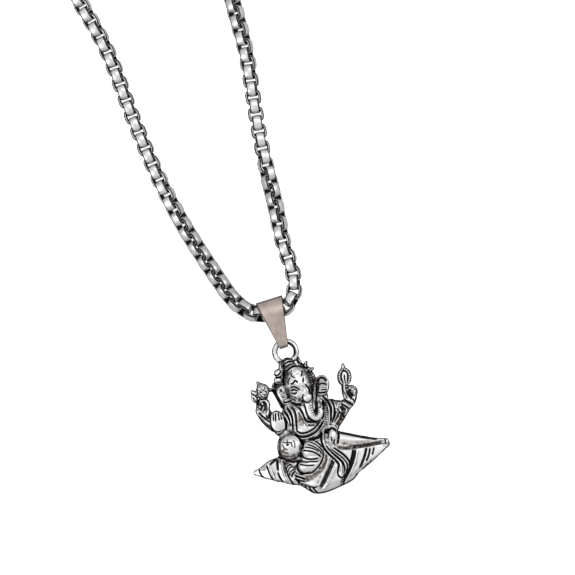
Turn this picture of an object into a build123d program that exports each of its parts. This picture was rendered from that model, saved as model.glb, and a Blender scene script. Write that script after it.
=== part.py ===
from build123d import *
import math
import os

import numpy as np

# Chain: round box links, each one a wide ring turned a quarter from the next
LINK_DIAMETER = 4.1
LINK_WALL = 0.47
LINK_WIDTH = 1.7
LINK_GAP = 0.18          # between two links that face the same way
LINK_SPREAD = 0.4        # how much of the room that a bend takes is added to the links' spacing
END_LINK_REACH = 0.7     # from the end link's middle to the jump ring's wire

# Bail: a strip folded round the chain and round the hanging ring
BAIL_STRIP = 0.45
BAIL_TOP_WIDTH = 7.0
BAIL_FOOT_WIDTH = 2.1
BAIL_REACH = 7.9         # from the chain's axis to the middle of the ring's wire
CHAIN_PLAY = 0.65
CHAIN_SAG = 0.3          # how far the chain lies below the middle of the bail's bend
RING_PLAY = 0.5

# Pendant: one casting with a flat back, and the ring that it hangs from
PENDANT_WIDTH = 34.0
PENDANT_DEPTH = 8.0
PENDANT_TURN = -17.5     # how the casting lies against the bail, in degrees
RING_BORE = 4.0
RING_WIRE = 1.4
MESH_SIZE = 0.62         # side of the cells that the casting's surface is worked out in

# Clasp and the jump rings at both of its ends
CLASP_LENGTH = 9.0
CLASP_DIAMETER = 4.6
CLASP_ROUNDING = 0.8
EYE_DIAMETER = 3.5
EYE_WIRE = 0.9
EYE_SINK = 0.35          # how deep an eye's wire sits in the clasp's end
JUMP_DIAMETER = 5.2
JUMP_WIRE = 0.8
EYE_PLAY = 0.1

# The chain's route as it lies, from one side of the clasp to the other, round the bail
# at the origin. Columns: x, y, and how far the links are turned about the chain, in degrees
CLASP_PLACE = (-5.0, 229.0)
LEFT_ROUTE = [
    (-21.8, 226.8, 0), (-27.6, 219.2, 0), (-31.0, 206.0, -2), (-32.0, 188.0, -5),
    (-31.6, 164.0, -9), (-29.6, 138.0, -14), (-26.2, 110.0, -18), (-22.7, 88.3, -18),
    (-20.4, 78.1, -15), (-19.4, 68.9, -8), (-19.0, 60.1, -4), (-18.4, 52.1, -4),
    (-17.6, 44.0, -8), (-16.4, 35.7, -22), (-14.8, 27.4, -38), (-12.6, 18.8, -45),
    (-10.1, 10.2, -45), (-8.6, 6.0, -46), (-6.4, 2.6, -52), (-3.6, 0.4, -58),
]
RIGHT_ROUTE = [
    (3.5, 0.2, -68), (6.0, 2.2, -76), (7.4, 5.4, -80), (7.8, 9.2, -80),
    (7.7, 15.1, -76), (8.4, 22.7, -56), (9.0, 30.4, -42), (9.7, 39.3, -6),
    (10.8, 48.1, 0), (12.1, 56.4, 8), (13.2, 64.3, 20), (13.6, 72.1, 34),
    (14.0, 80.0, 36), (15.3, 102.0, 30), (17.8, 127.0, 22), (20.2, 153.0, 14),
    (21.6, 180.0, 8), (21.0, 203.0, 3), (18.0, 218.6, 0), (12.4, 226.6, 0),
]
BAIL_TWIST = -63
ROUTE_SAMPLES = 2001     # places along the route where its bends are measured
LIFT_SPAN = 16.0         # the chain climbs into the bail over this length, on each side

# Sculpture: x and y count in 136ths of the casting's width, to the right of and above
# the foot of the hanging ring, and z in 32nds of its depth, above the flat back
WIDTH_PARTS = 136
DEPTH_PARTS = 32
BLEND = 1.6              # how softly two forms run into each other, in parts
NUDGE = 0.02             # step for the surface's slope, in parts
LEAST_STEEPNESS = 0.3    # the surface's squared slope counts as no less where forms blend
SETTLE_ROUNDS = 4        # how often each point is moved towards the surface
CELL_RIM = 0.08          # share of a cell, at its rim, that its point keeps out of
CROSSING_RIM = 0.1       # share of a cell's edge, at its ends, that no crossing lies in
LEAST_DEPTH = 1e-3       # a corner of a cell counts as no nearer to the surface, in parts
LAYER_BIAS = 0.4         # favours cells that are taller than wide over flatter ones

# Box that the casting is worked out in, in parts: its left, right and foot, and its
# margins above the hanging ring and in front of the deepest form
BOX_LEFT, BOX_RIGHT, BOX_FOOT = -40, 110, -136
MARGIN_ABOVE, MARGIN_IN_FRONT = 4, 8

# Rounded forms: middle x, y, z, half sizes along x, y, z, and a turn in degrees
MASSES = [
    ("crown cap", 5, -2, 7, 6, 5, 6, -20),
    ("crown middle", 7, -8, 9, 8.5, 5, 9, -15),
    ("crown brim", 13, -11, 10, 14, 6, 10, -10),
    ("crown petals", 25, -3, 5, 5.5, 6, 5, 30),
    ("neck knobs", -7, -13, 7, 4.5, 8, 6, 0),
    ("head", 13, -22, 14, 14.5, 18, 13, 8),
    ("forehead", 11, -12, 20, 7, 7, 6, 0),
    ("cheek", 14, -31, 18, 9, 9, 9, 0),
    ("left ear", -1, -32, 10, 8.5, 11, 8, 25),
    ("right ear", 36, -23, 9, 9, 12.5, 7, -5),
    ("nape", 27, -34, 6, 16, 10, 5, 0),
    ("side knobs", -3, -14, 4, 5, 8, 4, 0),
    ("chest", 22, -56, 10, 26, 19, 13, 0),
    ("belly", 22, -72, 13, 18, 15, 14, 0),
    ("left shoulder", 0, -50, 10, 9, 10, 9, 0),
    ("right shoulder", 46, -45, 9, 10, 12, 9, 25),
    ("open palm", -8, -59, 15, 6.5, 11.5, 5, -5),
    ("axe head", -24, -29, 7, 7, 7.5, 5, 0),
    ("axe wing", -31, -33, 6, 3.5, 7, 4, 0),
    ("raised left hand", -22, -43, 9, 6, 6, 6, 0),
    ("raised right hand", 66, -29, 9, 7, 6.5, 7, 0),
    ("ornament hub", 59, -14, 7, 5, 6, 3.5, 0),
    ("resting hand", 47, -73, 16, 5, 9, 6, 0),
    ("left knee", 4, -84, 16, 10.5, 13, 13, 0),
    ("right thigh", 26, -87, 17, 12, 12, 13, 0),
    ("right calf", 23, -103, 18, 11, 7.5, 10, 10),
    ("foot", 4, -105, 16, 6, 8, 9, 20),
    ("sash", 50, -96, 12, 9, 14, 8, 35),
]

# Drawn forms: each is a run of x, y, z and radius
LIMBS = [
    ("ring foot", [(0, 0, 5, 3), (3, -7, 7, 5)]),
    ("trunk", [(18, -30, 22, 6.5), (22, -37, 23, 5.4), (24, -47, 23, 4.6),
               (26, -53, 23, 4), (31, -56, 23, 3.6), (35.5, -52, 23, 3.3), (35.5, -45, 22, 3.2)]),
    ("tusk", [(17, -33, 21, 3.6), (22, -33.5, 22, 4.2)]),
    ("left arm", [(3, -48, 11, 8), (-10, -59, 9, 7.5), (-22, -52, 8, 5.5), (-22, -43, 8, 5)]),
    ("right arm", [(47, -43, 9, 9), (58, -50, 9, 7.5), (66, -38, 9, 5.5), (65, -28, 9, 5)]),
    ("ornament stem", [(59, -10, 6, 3), (60, -27, 7, 4)]),
    ("ornament tip", [(58, -6, 6, 2.4), (57.5, -1.5, 6, 1.8)]),
    ("lower right arm", [(47, -50, 11, 8), (46, -63, 13, 6), (46, -70, 14, 5)]),
    ("shin", [(14, -88, 17, 7), (6, -100, 17, 6)]),
    ("sash ends", [(42, -80, 14, 4.5), (50, -92, 13, 6), (57, -104, 11, 6), (58, -110, 9, 4)]),
    ("shell", [(-31.5, -110.5, 1, 2.6), (-20, -109, 2, 8), (-6, -107, 3, 12.5),
               (11, -101, 4, 24), (30, -99, 4, 31), (49, -95, 4, 31), (63, -91, 4, 25),
               (75, -90, 3, 17.5), (87, -86, 3, 12), (96, -82, 2, 7), (103, -78.2, 2, 2.2)]),
    ("shell lip", [(52, -72, 16, 4), (64, -74.5, 16, 5), (78, -77, 14, 5), (92, -78, 10, 4.5),
                   (102, -78, 5, 2.4)]),
]
SHELL_FLATNESS = 0.72    # the shell's rounding towards the front, against its outline

# Furrows of the shell, cut from the front down to runs of x, y, z and radius
FURROWS = [
    ("first spire furrow", [(-26, -105, 4, 1.2), (-25, -112, 7, 1.4), (-22, -117, 4, 1.2)]),
    ("second spire furrow", [(-18, -102, 5, 1.4), (-15, -110, 10, 1.8), (-13, -117, 5, 1.4)]),
    ("third spire furrow", [(-8, -97, 7, 1.6), (-5, -108, 14, 2.2), (-1, -119, 6, 1.6)]),
    ("body furrow", [(48, -92, 28, 2.2), (43, -108, 24, 2.8), (35, -126, 9, 2.4)]),
    ("outer furrow", [(70, -86, 19, 2), (65, -105, 17, 2.6), (57, -121, 7, 2.2)]),
    ("tip furrow", [(82, -86, 13, 1.4), (77, -97, 12, 1.8), (74, -104, 7, 1.4)]),
    ("mouth", [(50, -83, 26, 1.6), (65, -84, 20, 2), (80, -82.5, 14, 2), (98, -80.5, 7, 1.2)]),
]

# The beaded ornament in the raised right hand, an upright oval ring
ORNAMENT = (59, -14, 6)
ORNAMENT_RADII = (7.4, 8.8)
ORNAMENT_WIRE = 2.1

link_radius = LINK_DIAMETER / 2
link_middle = link_radius - LINK_WALL / 2
link_edge = LINK_WALL / 2
link_flat = LINK_WIDTH / 2 - link_edge
link_reach = math.hypot(link_middle, link_flat) + link_edge
link_pitch = (LINK_DIAMETER + LINK_GAP) / 2

bail_bore = link_reach + CHAIN_PLAY
chain_lift = bail_bore + BAIL_STRIP
ring_middle = (RING_BORE + RING_WIRE) / 2
foot_bore = RING_WIRE / 2 + RING_PLAY
ring_lift = foot_bore + BAIL_STRIP
ring_centre = Vector(0, -BAIL_REACH - ring_middle, ring_lift)

clasp_lift = CLASP_DIAMETER / 2
eye_place = CLASP_LENGTH / 2 + EYE_DIAMETER / 2 - EYE_SINK
jump_middle = (JUMP_DIAMETER - JUMP_WIRE) / 2
eye_bore = EYE_DIAMETER / 2 - EYE_WIRE
jump_place = eye_place + eye_bore - EYE_PLAY - JUMP_WIRE / 2 + jump_middle
end_link_place = jump_place + jump_middle + END_LINK_REACH


def one_link():
    """A ring with rounded rims, its axis along Z."""
    section = Plane.XZ * Pos(link_middle, 0) * SlotOverall(LINK_WIDTH, LINK_WALL, rotation=90)
    return revolve(section, Axis.Z)


def rest_height(twist):
    """How high the chain's axis lies where its links are turned by this angle."""
    turn = math.radians(twist)
    long_side, short_side = abs(math.cos(turn)), abs(math.sin(turn))
    upright = link_middle * long_side + link_flat * short_side
    lying = link_middle * short_side + link_flat * long_side
    return max(upright, lying) + link_edge


def route_line():
    """The route as a smooth line, with the share of its length and the twist at each point."""
    x, y = CLASP_PLACE
    left_end = (x - end_link_place, y, 0)
    right_end = (x + end_link_place, y, 0)
    table = [left_end] + LEFT_ROUTE + [(0, -CHAIN_SAG, BAIL_TWIST)] + RIGHT_ROUTE + [right_end]
    line = Spline([(x, y) for x, y, twist in table])
    shares = [line.param_at_point(Vector(x, y)) for x, y, twist in table]
    return line, shares, [twist for x, y, twist in table]


def bend_at(line, place, span):
    """How far the line turns over the span round this place, in radians."""
    before = line.tangent_at(max(place - span / 2, 0))
    after = line.tangent_at(min(place + span / 2, 1))
    return math.radians(before.get_angle(after))


def link_places():
    """Middles of all links and their twists: they spread where the chain bends."""
    line, shares, twists = route_line()
    samples = np.linspace(0, 1, ROUTE_SAMPLES)
    reach = 2 * link_pitch / line.length
    bends = np.array([bend_at(line, place, reach) for place in samples])
    crowding = link_middle * (1 - np.cos(bends / 2)) + link_flat / 2 * bends
    pitches = link_pitch + LINK_SPREAD * crowding
    steps = line.length / (len(samples) - 1) * 2 / (pitches[1:] + pitches[:-1])
    counted = np.concatenate([[0], np.cumsum(steps)])
    pairs = int(counted[-1] / 2)
    wanted = np.linspace(0, counted[-1], 2 * pairs + 1)
    at_links = np.interp(wanted, counted, samples)
    bail_share = shares[len(LEFT_ROUTE) + 1]
    places = []
    for share in at_links:
        twist = float(np.interp(share, shares, twists))
        height = rest_height(twist)
        away = min(abs(share - bail_share) * line.length / LIFT_SPAN, 1)
        height += (chain_lift - height) * (1 + math.cos(math.pi * away)) / 2
        spot = line.position_at(share)
        places.append((Vector(spot.X, spot.Y, height), twist, share <= bail_share))
    return places


def chain_links():
    """All links in their places, those before the bail and those after it."""
    link = one_link()
    places = link_places()
    left_links, right_links = [], []
    for number, (spot, twist, before_bail) in enumerate(places):
        behind = places[max(number - 1, 0)][0]
        ahead = places[min(number + 1, len(places) - 1)][0]
        along = (ahead - behind).normalized()
        upward = (Vector(0, 0, 1) - along * along.Z).normalized()
        quarter = 90 if number % 2 == 0 else 0
        axis = upward.rotate(Axis((0, 0, 0), along), -(twist + quarter))
        placed = Plane(origin=spot, x_dir=along, z_dir=axis).location * link
        (left_links if before_bail else right_links).append(placed)
    return left_links, right_links


def bail():
    """A strip bent to a drop round chain and ring, and tapered to its foot."""
    def drop(top_radius, foot_radius):
        ends = [Pos(0, chain_lift) * Circle(top_radius).edge(),
                Pos(-BAIL_REACH, ring_lift) * Circle(foot_radius).edge()]
        return make_hull(ends)

    profile = drop(chain_lift, ring_lift) - drop(bail_bore, foot_bore)
    folded = extrude(Plane.YZ * profile, amount=BAIL_TOP_WIDTH / 2, both=True)
    top, foot = chain_lift, -BAIL_REACH - ring_lift
    outline = Polygon(
        (-BAIL_TOP_WIDTH / 2, top), (-BAIL_FOOT_WIDTH / 2, foot),
        (BAIL_FOOT_WIDTH / 2, foot), (BAIL_TOP_WIDTH / 2, top), align=None)
    return folded & extrude(outline, amount=2 * chain_lift)


def smooth_min(first, second):
    """The nearer of two distances, run together softly where they are alike."""
    mix = np.clip(0.5 + 0.5 * (second - first) / BLEND, 0, 1)
    return second + (first - second) * mix - BLEND * mix * (1 - mix)


def mass_distance(points, middle, halves, turn):
    """Distance to a rounded form that goes straight down to the back."""
    angle = math.radians(turn)
    offset = points - np.array(middle)
    x = offset[..., 0] * math.cos(angle) + offset[..., 1] * math.sin(angle)
    y = offset[..., 1] * math.cos(angle) - offset[..., 0] * math.sin(angle)
    local = np.stack([x, y, np.maximum(offset[..., 2], 0)], axis=-1)
    halves = np.array(halves)
    scaled = np.linalg.norm(local / halves, axis=-1)
    slope = np.linalg.norm(local / halves ** 2, axis=-1) + 1e-9
    return scaled * (scaled - 1) / slope


def run_distance(points, run, flatness=1.0, to_front=False):
    """Distance to a run of tapering round bars, open towards the back or the front."""
    best = None
    for start, end in zip(run, run[1:]):
        along = np.array([end[0] - start[0], end[1] - start[1]])
        offset = points[..., :2] - np.array(start[:2])
        share = np.clip(offset @ along / (along @ along), 0, 1)
        radius = start[3] + (end[3] - start[3]) * share
        above = points[..., 2] - start[2] - (end[2] - start[2]) * share
        above = np.minimum(above, 0) if to_front else np.maximum(above, 0)
        aside = np.linalg.norm(offset - share[..., None] * along, axis=-1)
        distance = np.hypot(aside, above / flatness) - radius
        best = distance if best is None else np.minimum(best, distance)
    return best


def ornament_distance(points):
    """Distance to the oval ring in the raised hand."""
    offset = points - np.array(ORNAMENT)
    wide, high = ORNAMENT_RADII
    round_trip = np.hypot(offset[..., 0] / wide, offset[..., 1] / high)
    off_ring = (round_trip - 1) * (wide + high) / 2
    return np.hypot(off_ring, np.maximum(offset[..., 2], 0)) - ORNAMENT_WIRE


def ring_distance(points, scale):
    """Distance to the hanging ring, in parts, from its true sizes."""
    offset = points * scale - np.array([0, ring_middle, ring_lift])
    off_circle = np.hypot(offset[..., 0], offset[..., 1]) - ring_middle
    return (np.hypot(off_circle, offset[..., 2]) - RING_WIRE / 2) / scale[0]


def casting_field(points, scale):
    """Below zero inside the casting."""
    field = run_distance(points, dict(LIMBS)["shell"], SHELL_FLATNESS)
    for name, x, y, z, half_x, half_y, half_z, turn in MASSES:
        field = smooth_min(field, mass_distance(points, (x, y, z), (half_x, half_y, half_z), turn))
    for name, run in LIMBS:
        if name != "shell":
            field = smooth_min(field, run_distance(points, run))
    for name, run in FURROWS:
        field = np.maximum(field, -run_distance(points, run, to_front=True))
    field = smooth_min(field, ornament_distance(points))
    return np.minimum(field, ring_distance(points, scale))


def settle(points, lowest, highest, scale):
    """Moves points onto the casting's surface, each within its own cell."""
    for trial in range(SETTLE_ROUNDS):
        here = casting_field(points, scale)
        slopes = [(casting_field(points + nudge, scale) - here) / NUDGE
                  for nudge in np.eye(3) * NUDGE]
        slope = np.stack(slopes, axis=-1)
        steepness = np.maximum((slope ** 2).sum(axis=-1), LEAST_STEEPNESS)
        points = points - (here / steepness)[:, None] * slope
        points = np.clip(points, lowest, highest)
    return points


CORNERS = [(i, j, k) for i in (0, 1) for j in (0, 1) for k in (0, 1)]


def beside(first, second):
    return sum(abs(a - b) for a, b in zip(first, second)) == 1


def hangs_together(members):
    """True if these corners of a cell are all joined along its edges."""
    reached, waiting = set(members[:1]), list(members[:1])
    while waiting:
        corner = waiting.pop()
        for other in members:
            if other not in reached and beside(corner, other):
                reached.add(other)
                waiting.append(other)
    return len(reached) == len(members)


def crossed_once(code):
    """True if a cell with these corners inside is crossed by the surface once at most."""
    inner = [corner for bit, corner in enumerate(CORNERS) if code >> bit & 1]
    outer = [corner for corner in CORNERS if corner not in inner]
    return hangs_together(inner) and hangs_together(outer)


def part_of(grid, corner):
    """The grid's values at one corner of each of its cells."""
    return grid[tuple(slice(c, c - 1 or None) for c in corner)]


def fill_doubtful(inside):
    """Fills each cell that the surface would cross twice, so that the skin is one sheet."""
    clean = np.array([crossed_once(code) for code in range(256)])
    while True:
        codes = sum(part_of(inside, corner).astype(int) << bit
                    for bit, corner in enumerate(CORNERS))
        doubtful = ~clean[codes]
        if not doubtful.any():
            return inside
        for corner in CORNERS:
            part_of(inside, corner)[doubtful] = True
        inside[:, :, 0] = False


def skin_points(field, inside, origin, step):
    """One point for each cell that the surface crosses, at the mean of its crossings."""
    edges = [(a, b) for a in CORNERS for b in CORNERS if a < b and beside(a, b)]
    shape = tuple(n - 1 for n in field.shape)
    total, count = np.zeros(shape + (3,)), np.zeros(shape)
    depth = np.abs(field) + LEAST_DEPTH
    signed = np.where(inside, -depth, depth)
    for a, b in edges:
        value_a, value_b = part_of(signed, a), part_of(signed, b)
        crossed = (value_a < 0) != (value_b < 0)
        share = value_a / np.where(crossed, value_a - value_b, 1)
        share = np.clip(share, CROSSING_RIM, 1 - CROSSING_RIM)
        at = np.array(a) + share[..., None] * (np.array(b) - np.array(a))
        total += np.where(crossed[..., None], at, 0)
        count += crossed
    cells = np.stack(np.indices(shape), axis=-1)
    return origin + step * (cells + total / np.maximum(count, 1)[..., None])


def skin_quads(inside):
    """Four cells round each grid edge that the surface crosses, outward side first."""
    quads = []
    for axis in range(3):
        across, up = (axis + 1) % 3, (axis + 2) % 3
        first = np.take(inside, range(inside.shape[axis] - 1), axis)
        second = np.take(inside, range(1, inside.shape[axis]), axis)
        for place in np.argwhere(first != second):
            cells = []
            for back_across, back_up in ((1, 1), (0, 1), (0, 0), (1, 0)):
                cell = place.copy()
                cell[across] -= back_across
                cell[up] -= back_up
                cells.append(tuple(int(c) for c in cell))
            quads.append(cells if first[tuple(place)] else cells[::-1])
    return quads


def largest_sheet(quads):
    """The quads of the largest joined sheet: crumbs that furrows leave are dropped."""
    meeting = {}
    for quad in quads:
        for cell in quad:
            meeting.setdefault(cell, []).append(quad)
    left, sheets = set(meeting), []
    while left:
        start = left.pop()
        waiting, sheet = [start], {start}
        while waiting:
            for quad in meeting[waiting.pop()]:
                fresh = left.intersection(quad)
                left -= fresh
                sheet |= fresh
                waiting += fresh
        sheets.append(sheet)
    biggest = max(sheets, key=len)
    return [quad for quad in quads if quad[0] in biggest]


def outline_loops(triangles):
    """Closed loops of cells along the open rim of these triangles."""
    directed = {(tri[n], tri[(n + 1) % 3]) for tri in triangles for n in range(3)}
    following = {a: b for a, b in directed if (b, a) not in directed}
    loops = []
    while following:
        start = next(iter(following))
        loop, cell = [start], following.pop(start)
        while cell != start:
            loop.append(cell)
            cell = following.pop(cell)
        loops.append(loop)
    return loops


def pendant():
    """The whole casting, with its figure, shell and hanging ring."""
    scale = np.array([PENDANT_WIDTH / WIDTH_PARTS] * 2 + [PENDANT_DEPTH / DEPTH_PARTS])
    layers = max(round(ring_lift / MESH_SIZE - LAYER_BIAS), 1)
    step = np.array([MESH_SIZE, MESH_SIZE, ring_lift / layers]) / scale
    ring_top = (ring_middle * 2 + RING_WIRE / 2) / scale[1]
    lowest = np.array([BOX_LEFT, BOX_FOOT, -0.5 * step[2]])
    highest = np.array([BOX_RIGHT, ring_top + MARGIN_ABOVE, DEPTH_PARTS + MARGIN_IN_FRONT])
    counts = [int((high - low) / size) + 2 for low, high, size in zip(lowest, highest, step)]
    cells = np.stack(np.indices(counts), axis=-1)
    places = lowest + cells * step
    field = np.maximum(casting_field(places, scale), -places[..., 2])
    inside = fill_doubtful(field < 0)
    points = skin_points(field, inside, lowest, step)
    points[:, :, 0, 2] = 0
    quads = [quad for quad in skin_quads(inside) if any(cell[2] > 0 for cell in quad)]
    quads = largest_sheet(quads)
    used = tuple(np.array(sorted({cell for quad in quads for cell in quad})).T)
    corners = lowest + np.array(used).T * step
    floor = corners + CELL_RIM * step
    ceiling = corners + (1 - CELL_RIM) * step
    on_back = corners[:, 2] < 0
    floor[on_back, 2] = ceiling[on_back, 2] = 0
    points[used] = settle(points[used], floor, ceiling, scale)
    points *= scale

    turn = math.radians(PENDANT_TURN)
    foot_x = ring_centre.X + math.sin(turn) * ring_middle
    foot_y = ring_centre.Y - math.cos(turn) * ring_middle

    def corner(cell):
        x, y, z = points[cell]
        return Vector(foot_x + x * math.cos(turn) - y * math.sin(turn),
                      foot_y + x * math.sin(turn) + y * math.cos(turn), z)

    triangles = []
    for a, b, c, d in quads:
        if (corner(a) - corner(c)).length < (corner(b) - corner(d)).length:
            triangles += [(a, b, c), (a, c, d)]
        else:
            triangles += [(a, b, d), (b, c, d)]
    faces = [Face(Wire.make_polygon([corner(cell) for cell in tri])) for tri in triangles]
    rims = [Wire.make_polygon([corner(cell) for cell in loop]) for loop in outline_loops(triangles)]
    rims.sort(key=lambda rim: rim.length, reverse=True)
    faces.append(Face(rims[0], rims[1:]))
    return Solid(Shell(faces))


def clasp():
    """A plain barrel with an upright eye at each end."""
    barrel = Rot(0, 90, 0) * Cylinder(clasp_lift, CLASP_LENGTH)
    barrel = fillet(barrel.edges(), CLASP_ROUNDING)
    eye = Torus(EYE_DIAMETER / 2 - EYE_WIRE / 2, EYE_WIRE / 2)
    for side in (-1, 1):
        barrel += Pos(side * eye_place, 0, 0) * Rot(90, 0, 0) * eye
    return Pos(*CLASP_PLACE, clasp_lift) * barrel


def jump_ring(side):
    x, y = CLASP_PLACE
    return Pos(x + side * jump_place, y, clasp_lift) * Torus(jump_middle, JUMP_WIRE / 2)


left_links, right_links = chain_links()
pieces = {
    "pendant": pendant(),
    "bail": bail(),
    "chain_left": Compound(children=left_links),
    "chain_right": Compound(children=right_links),
    "clasp": clasp(),
    "jump_ring_left": jump_ring(-1),
    "jump_ring_right": jump_ring(1),
}

# The part stands over the middle of its own box
whole = Compound(children=[Compound(piece.wrapped) for piece in pieces.values()]).bounding_box()
to_middle = Pos(-whole.center().X, -whole.center().Y, -whole.min.Z)

os.makedirs("parts", exist_ok=True)
for name, piece in pieces.items():
    export_step(to_middle * piece, f"parts/{name}.step")
print("links", len(left_links) + len(right_links), "box", whole.size, "moved", to_middle.position)
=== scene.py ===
import math

import bpy
import numpy as np
from mathutils import Matrix, Vector, kdtree


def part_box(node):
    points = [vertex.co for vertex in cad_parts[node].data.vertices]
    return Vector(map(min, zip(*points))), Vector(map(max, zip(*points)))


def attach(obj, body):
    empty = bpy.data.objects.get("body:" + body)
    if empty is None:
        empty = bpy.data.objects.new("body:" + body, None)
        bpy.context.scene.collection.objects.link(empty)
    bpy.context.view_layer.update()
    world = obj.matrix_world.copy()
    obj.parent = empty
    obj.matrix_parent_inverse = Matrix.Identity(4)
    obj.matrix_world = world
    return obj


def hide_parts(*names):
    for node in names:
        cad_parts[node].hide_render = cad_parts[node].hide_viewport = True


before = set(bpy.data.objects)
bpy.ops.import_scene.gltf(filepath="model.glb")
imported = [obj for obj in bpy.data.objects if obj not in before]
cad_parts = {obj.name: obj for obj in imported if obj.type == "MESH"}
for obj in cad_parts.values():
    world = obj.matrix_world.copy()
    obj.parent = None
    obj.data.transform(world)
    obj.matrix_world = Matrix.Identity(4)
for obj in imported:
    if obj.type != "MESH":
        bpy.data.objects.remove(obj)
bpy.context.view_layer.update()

MM = 0.001

# Photograph: how much of the necklace it takes in, and how it lies there
PHOTO_SIDE = 143.75 * MM
PHOTO_MIDDLE = Vector((5.34, 4.64, 3.0)) * MM    # from the place where the chain bends in the bail
NECKLACE_TURN = math.radians(-17.5)
LENS = 200.0
SENSOR = 36.0
NEAREST_SEEN = 10 * MM

# Studio
FLOOR_SIZE = 6
FLOOR_SHADE = (0.85, 0.85, 0.85, 1)
FLOOR_MIRRORED = (0.60, 0.60, 0.60, 1)    # as metal mirrors it
FLOOR_GLOW = 0.90                # light of its own, which keeps shadows faint
FLOOR_ROUGHNESS = 0.9
WHITE = (1, 1, 1, 1)
SKY_SEEN = (0.95, 0.95, 0.95, 1)

# How bright the studio is in the metal, from its floor level to overhead
SKY_TONES = [(0.0, (0.42, 0.42, 0.42, 1)), (0.45, (0.62, 0.62, 0.62, 1)), (0.95, (0.66, 0.66, 0.66, 1))]

# Columns: name, place from the bail, sides, power, in metres and watts
LAMPS = [
    ("overhead_lamp", (0.10, 0.35, 0.95), (0.7, 0.35), 1.0),
    ("left_lamp", (-0.75, -0.05, 0.55), (0.3, 0.8), 1.5),
    ("right_lamp", (0.80, 0.10, 0.50), (0.25, 0.8), 1.1),
]

# Chain
LINK_LENGTH = 3.98 * MM
LINK_WALL = 0.68 * MM
LINK_WIDTH = 2.32 * MM
LINK_SIDES = 16
LINK_SQUARENESS = 1.17           # how much further out a link's corners lie than a ring's would
LINK_SHORTNESS = 0.97            # its length along the chain, of its width across
LINK_WELD = 0.01 * MM
LINK_CREASE = math.radians(50)
SOLID_WELD = 0.002 * MM          # corners of the solid links that are nearer than this are one

# The upper half of a section through a link's wall, from the middle of its outside to its inside.
# Columns: how far in, height as a share of half the width, nearness to an edge, which sets the painted shade
# there
LINK_SECTION = [(0, 0, 0.0), (0.05 * MM, 0.70, 0.5), (0.18 * MM, 1.0, 1.0), (0.3944 * MM, 1.0, 0.45),
                (LINK_WALL, 0.94, 1.0)]

# Bail
BAIL_STRIP = 0.45 * MM
BAIL_TOP_WIDTH = 7.0 * MM
BAIL_FOOT_WIDTH = 2.1 * MM
BAIL_REACH = 7.9 * MM
BAIL_TOP_STEPS = 40
BAIL_FOOT_STEPS = 24
BAIL_SIDE_STEPS = 10
BAIL_ROUNDING = 0.14 * MM
BAIL_ROUNDING_STEPS = 3
BAIL_ROUNDED = math.radians(50)  # edges sharper than this are rounded
BAIL_CREASE = math.radians(40)
FOOT_LIFT = 1.65 * MM            # height of the hanging ring's middle

# Casting: its chart counts in quarter millimetres, across and down, and its heights too
PART = 0.25 * MM
CHART_FOOT = (285, 363)          # the lower side of the hanging ring, on the chart
FOOT_PLACE = Vector((-0.812, -13.175, 0)) * MM    # where that is, from the bend of the chain
RING_BORE = 4.0 * MM
RING_WIRE = 1.4 * MM
RING_MIDDLE = (RING_BORE + RING_WIRE) / 2 / PART
RING_HALF_WIRE = RING_WIRE / 2 / PART
CROWN_MARGIN = 3                 # the ring is clear of the crown from this far above its foot
SHELL_FLATNESS = 0.60
BACK_DEPTH = -2.0
FACES_BACK = -0.02               # a normal that points down by more than this faces the back
FULLNESS = 0.72                  # below 1, a rounded form stands fuller than a ball
BALL_SIDES, BALL_RINGS = 36, 20
RUN_STEPS = 6                    # places along a smooth run, for each one drawn
TUBE_ROUNDNESS = 6
END_SIDES, END_RINGS = 24, 14
RING_STEPS, RING_SIDES = 64, 20
VOXEL = 0.42
MELT_ROUNDS = 3
CARVE_SOFTENING = 0.3
CASTING_TRIANGLES = 190000

# Relief drawn on the casting
FRONT_STARTS, FRONT_FULL = 0.05, 0.35    # upward share of the normal where relief starts, and is full
STROKE_ROUNDNESS = 0.75
STROKE_END = 0.35                # share of its height that a stroke has at its ends
STROKE_RISE = 8                  # how fast it rises from there, along its whole length
RIB_HALF_WIDTH = 0.6             # of the trunk
RIB_DEPTH = 0.7
RIB_STEP = 3
RIB_REACH = (0.1, 0.55, 1)       # where a rib starts, bends and ends, of the trunk's radius
ORNAMENT = (344.0, 377.2)        # middle of the oval plate in the raised right hand
ORNAMENT_RADII = (5.5, 7.5)
ORNAMENT_HEIGHT = 6.5
ORNAMENT_WIRE = 1.9
ORNAMENT_STEPS = 25
AXE_CORNER = (257.6, 388.2)      # the first pebble of the axe's face
AXE_ROWS = 4
AXE_STEP = 2.9
AXE_ROW_SHIFT, AXE_COLUMN_SHIFT = 0.8, -0.4
AXE_PEBBLE_HALF_WIDTH, AXE_PEBBLE_HEIGHT = 1.3, 0.9

# How the old silver darkens with oxide in its hollows, and where shade is painted on it
RECESS_ROUNDS = [(4, 1.0), (14, 1.0), (50, 0.5)]    # rounds of smoothing, and the weight of each
RECESS_FULL = 5.0                # depth below the smoothed surface that adds 1 to a place's mark
DRAWN_FULL = 9.5                 # the same for a drawn furrow
# Painted shade along the casting's outline, where it meets its back, widest below and on the right
OUTLINE_SHADE = 0.30             # the painted shade that the outline adds to the mark
OUTLINE_FULL, OUTLINE_REACH = 0.77, 1.43     # how far in it is dark all over, and at all
OUTLINE_SHIFT = (0.25, -0.35)    # it is widest below and on the right
FOOT_HEIGHT = 0.01               # what is no higher than this is the foot
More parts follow.
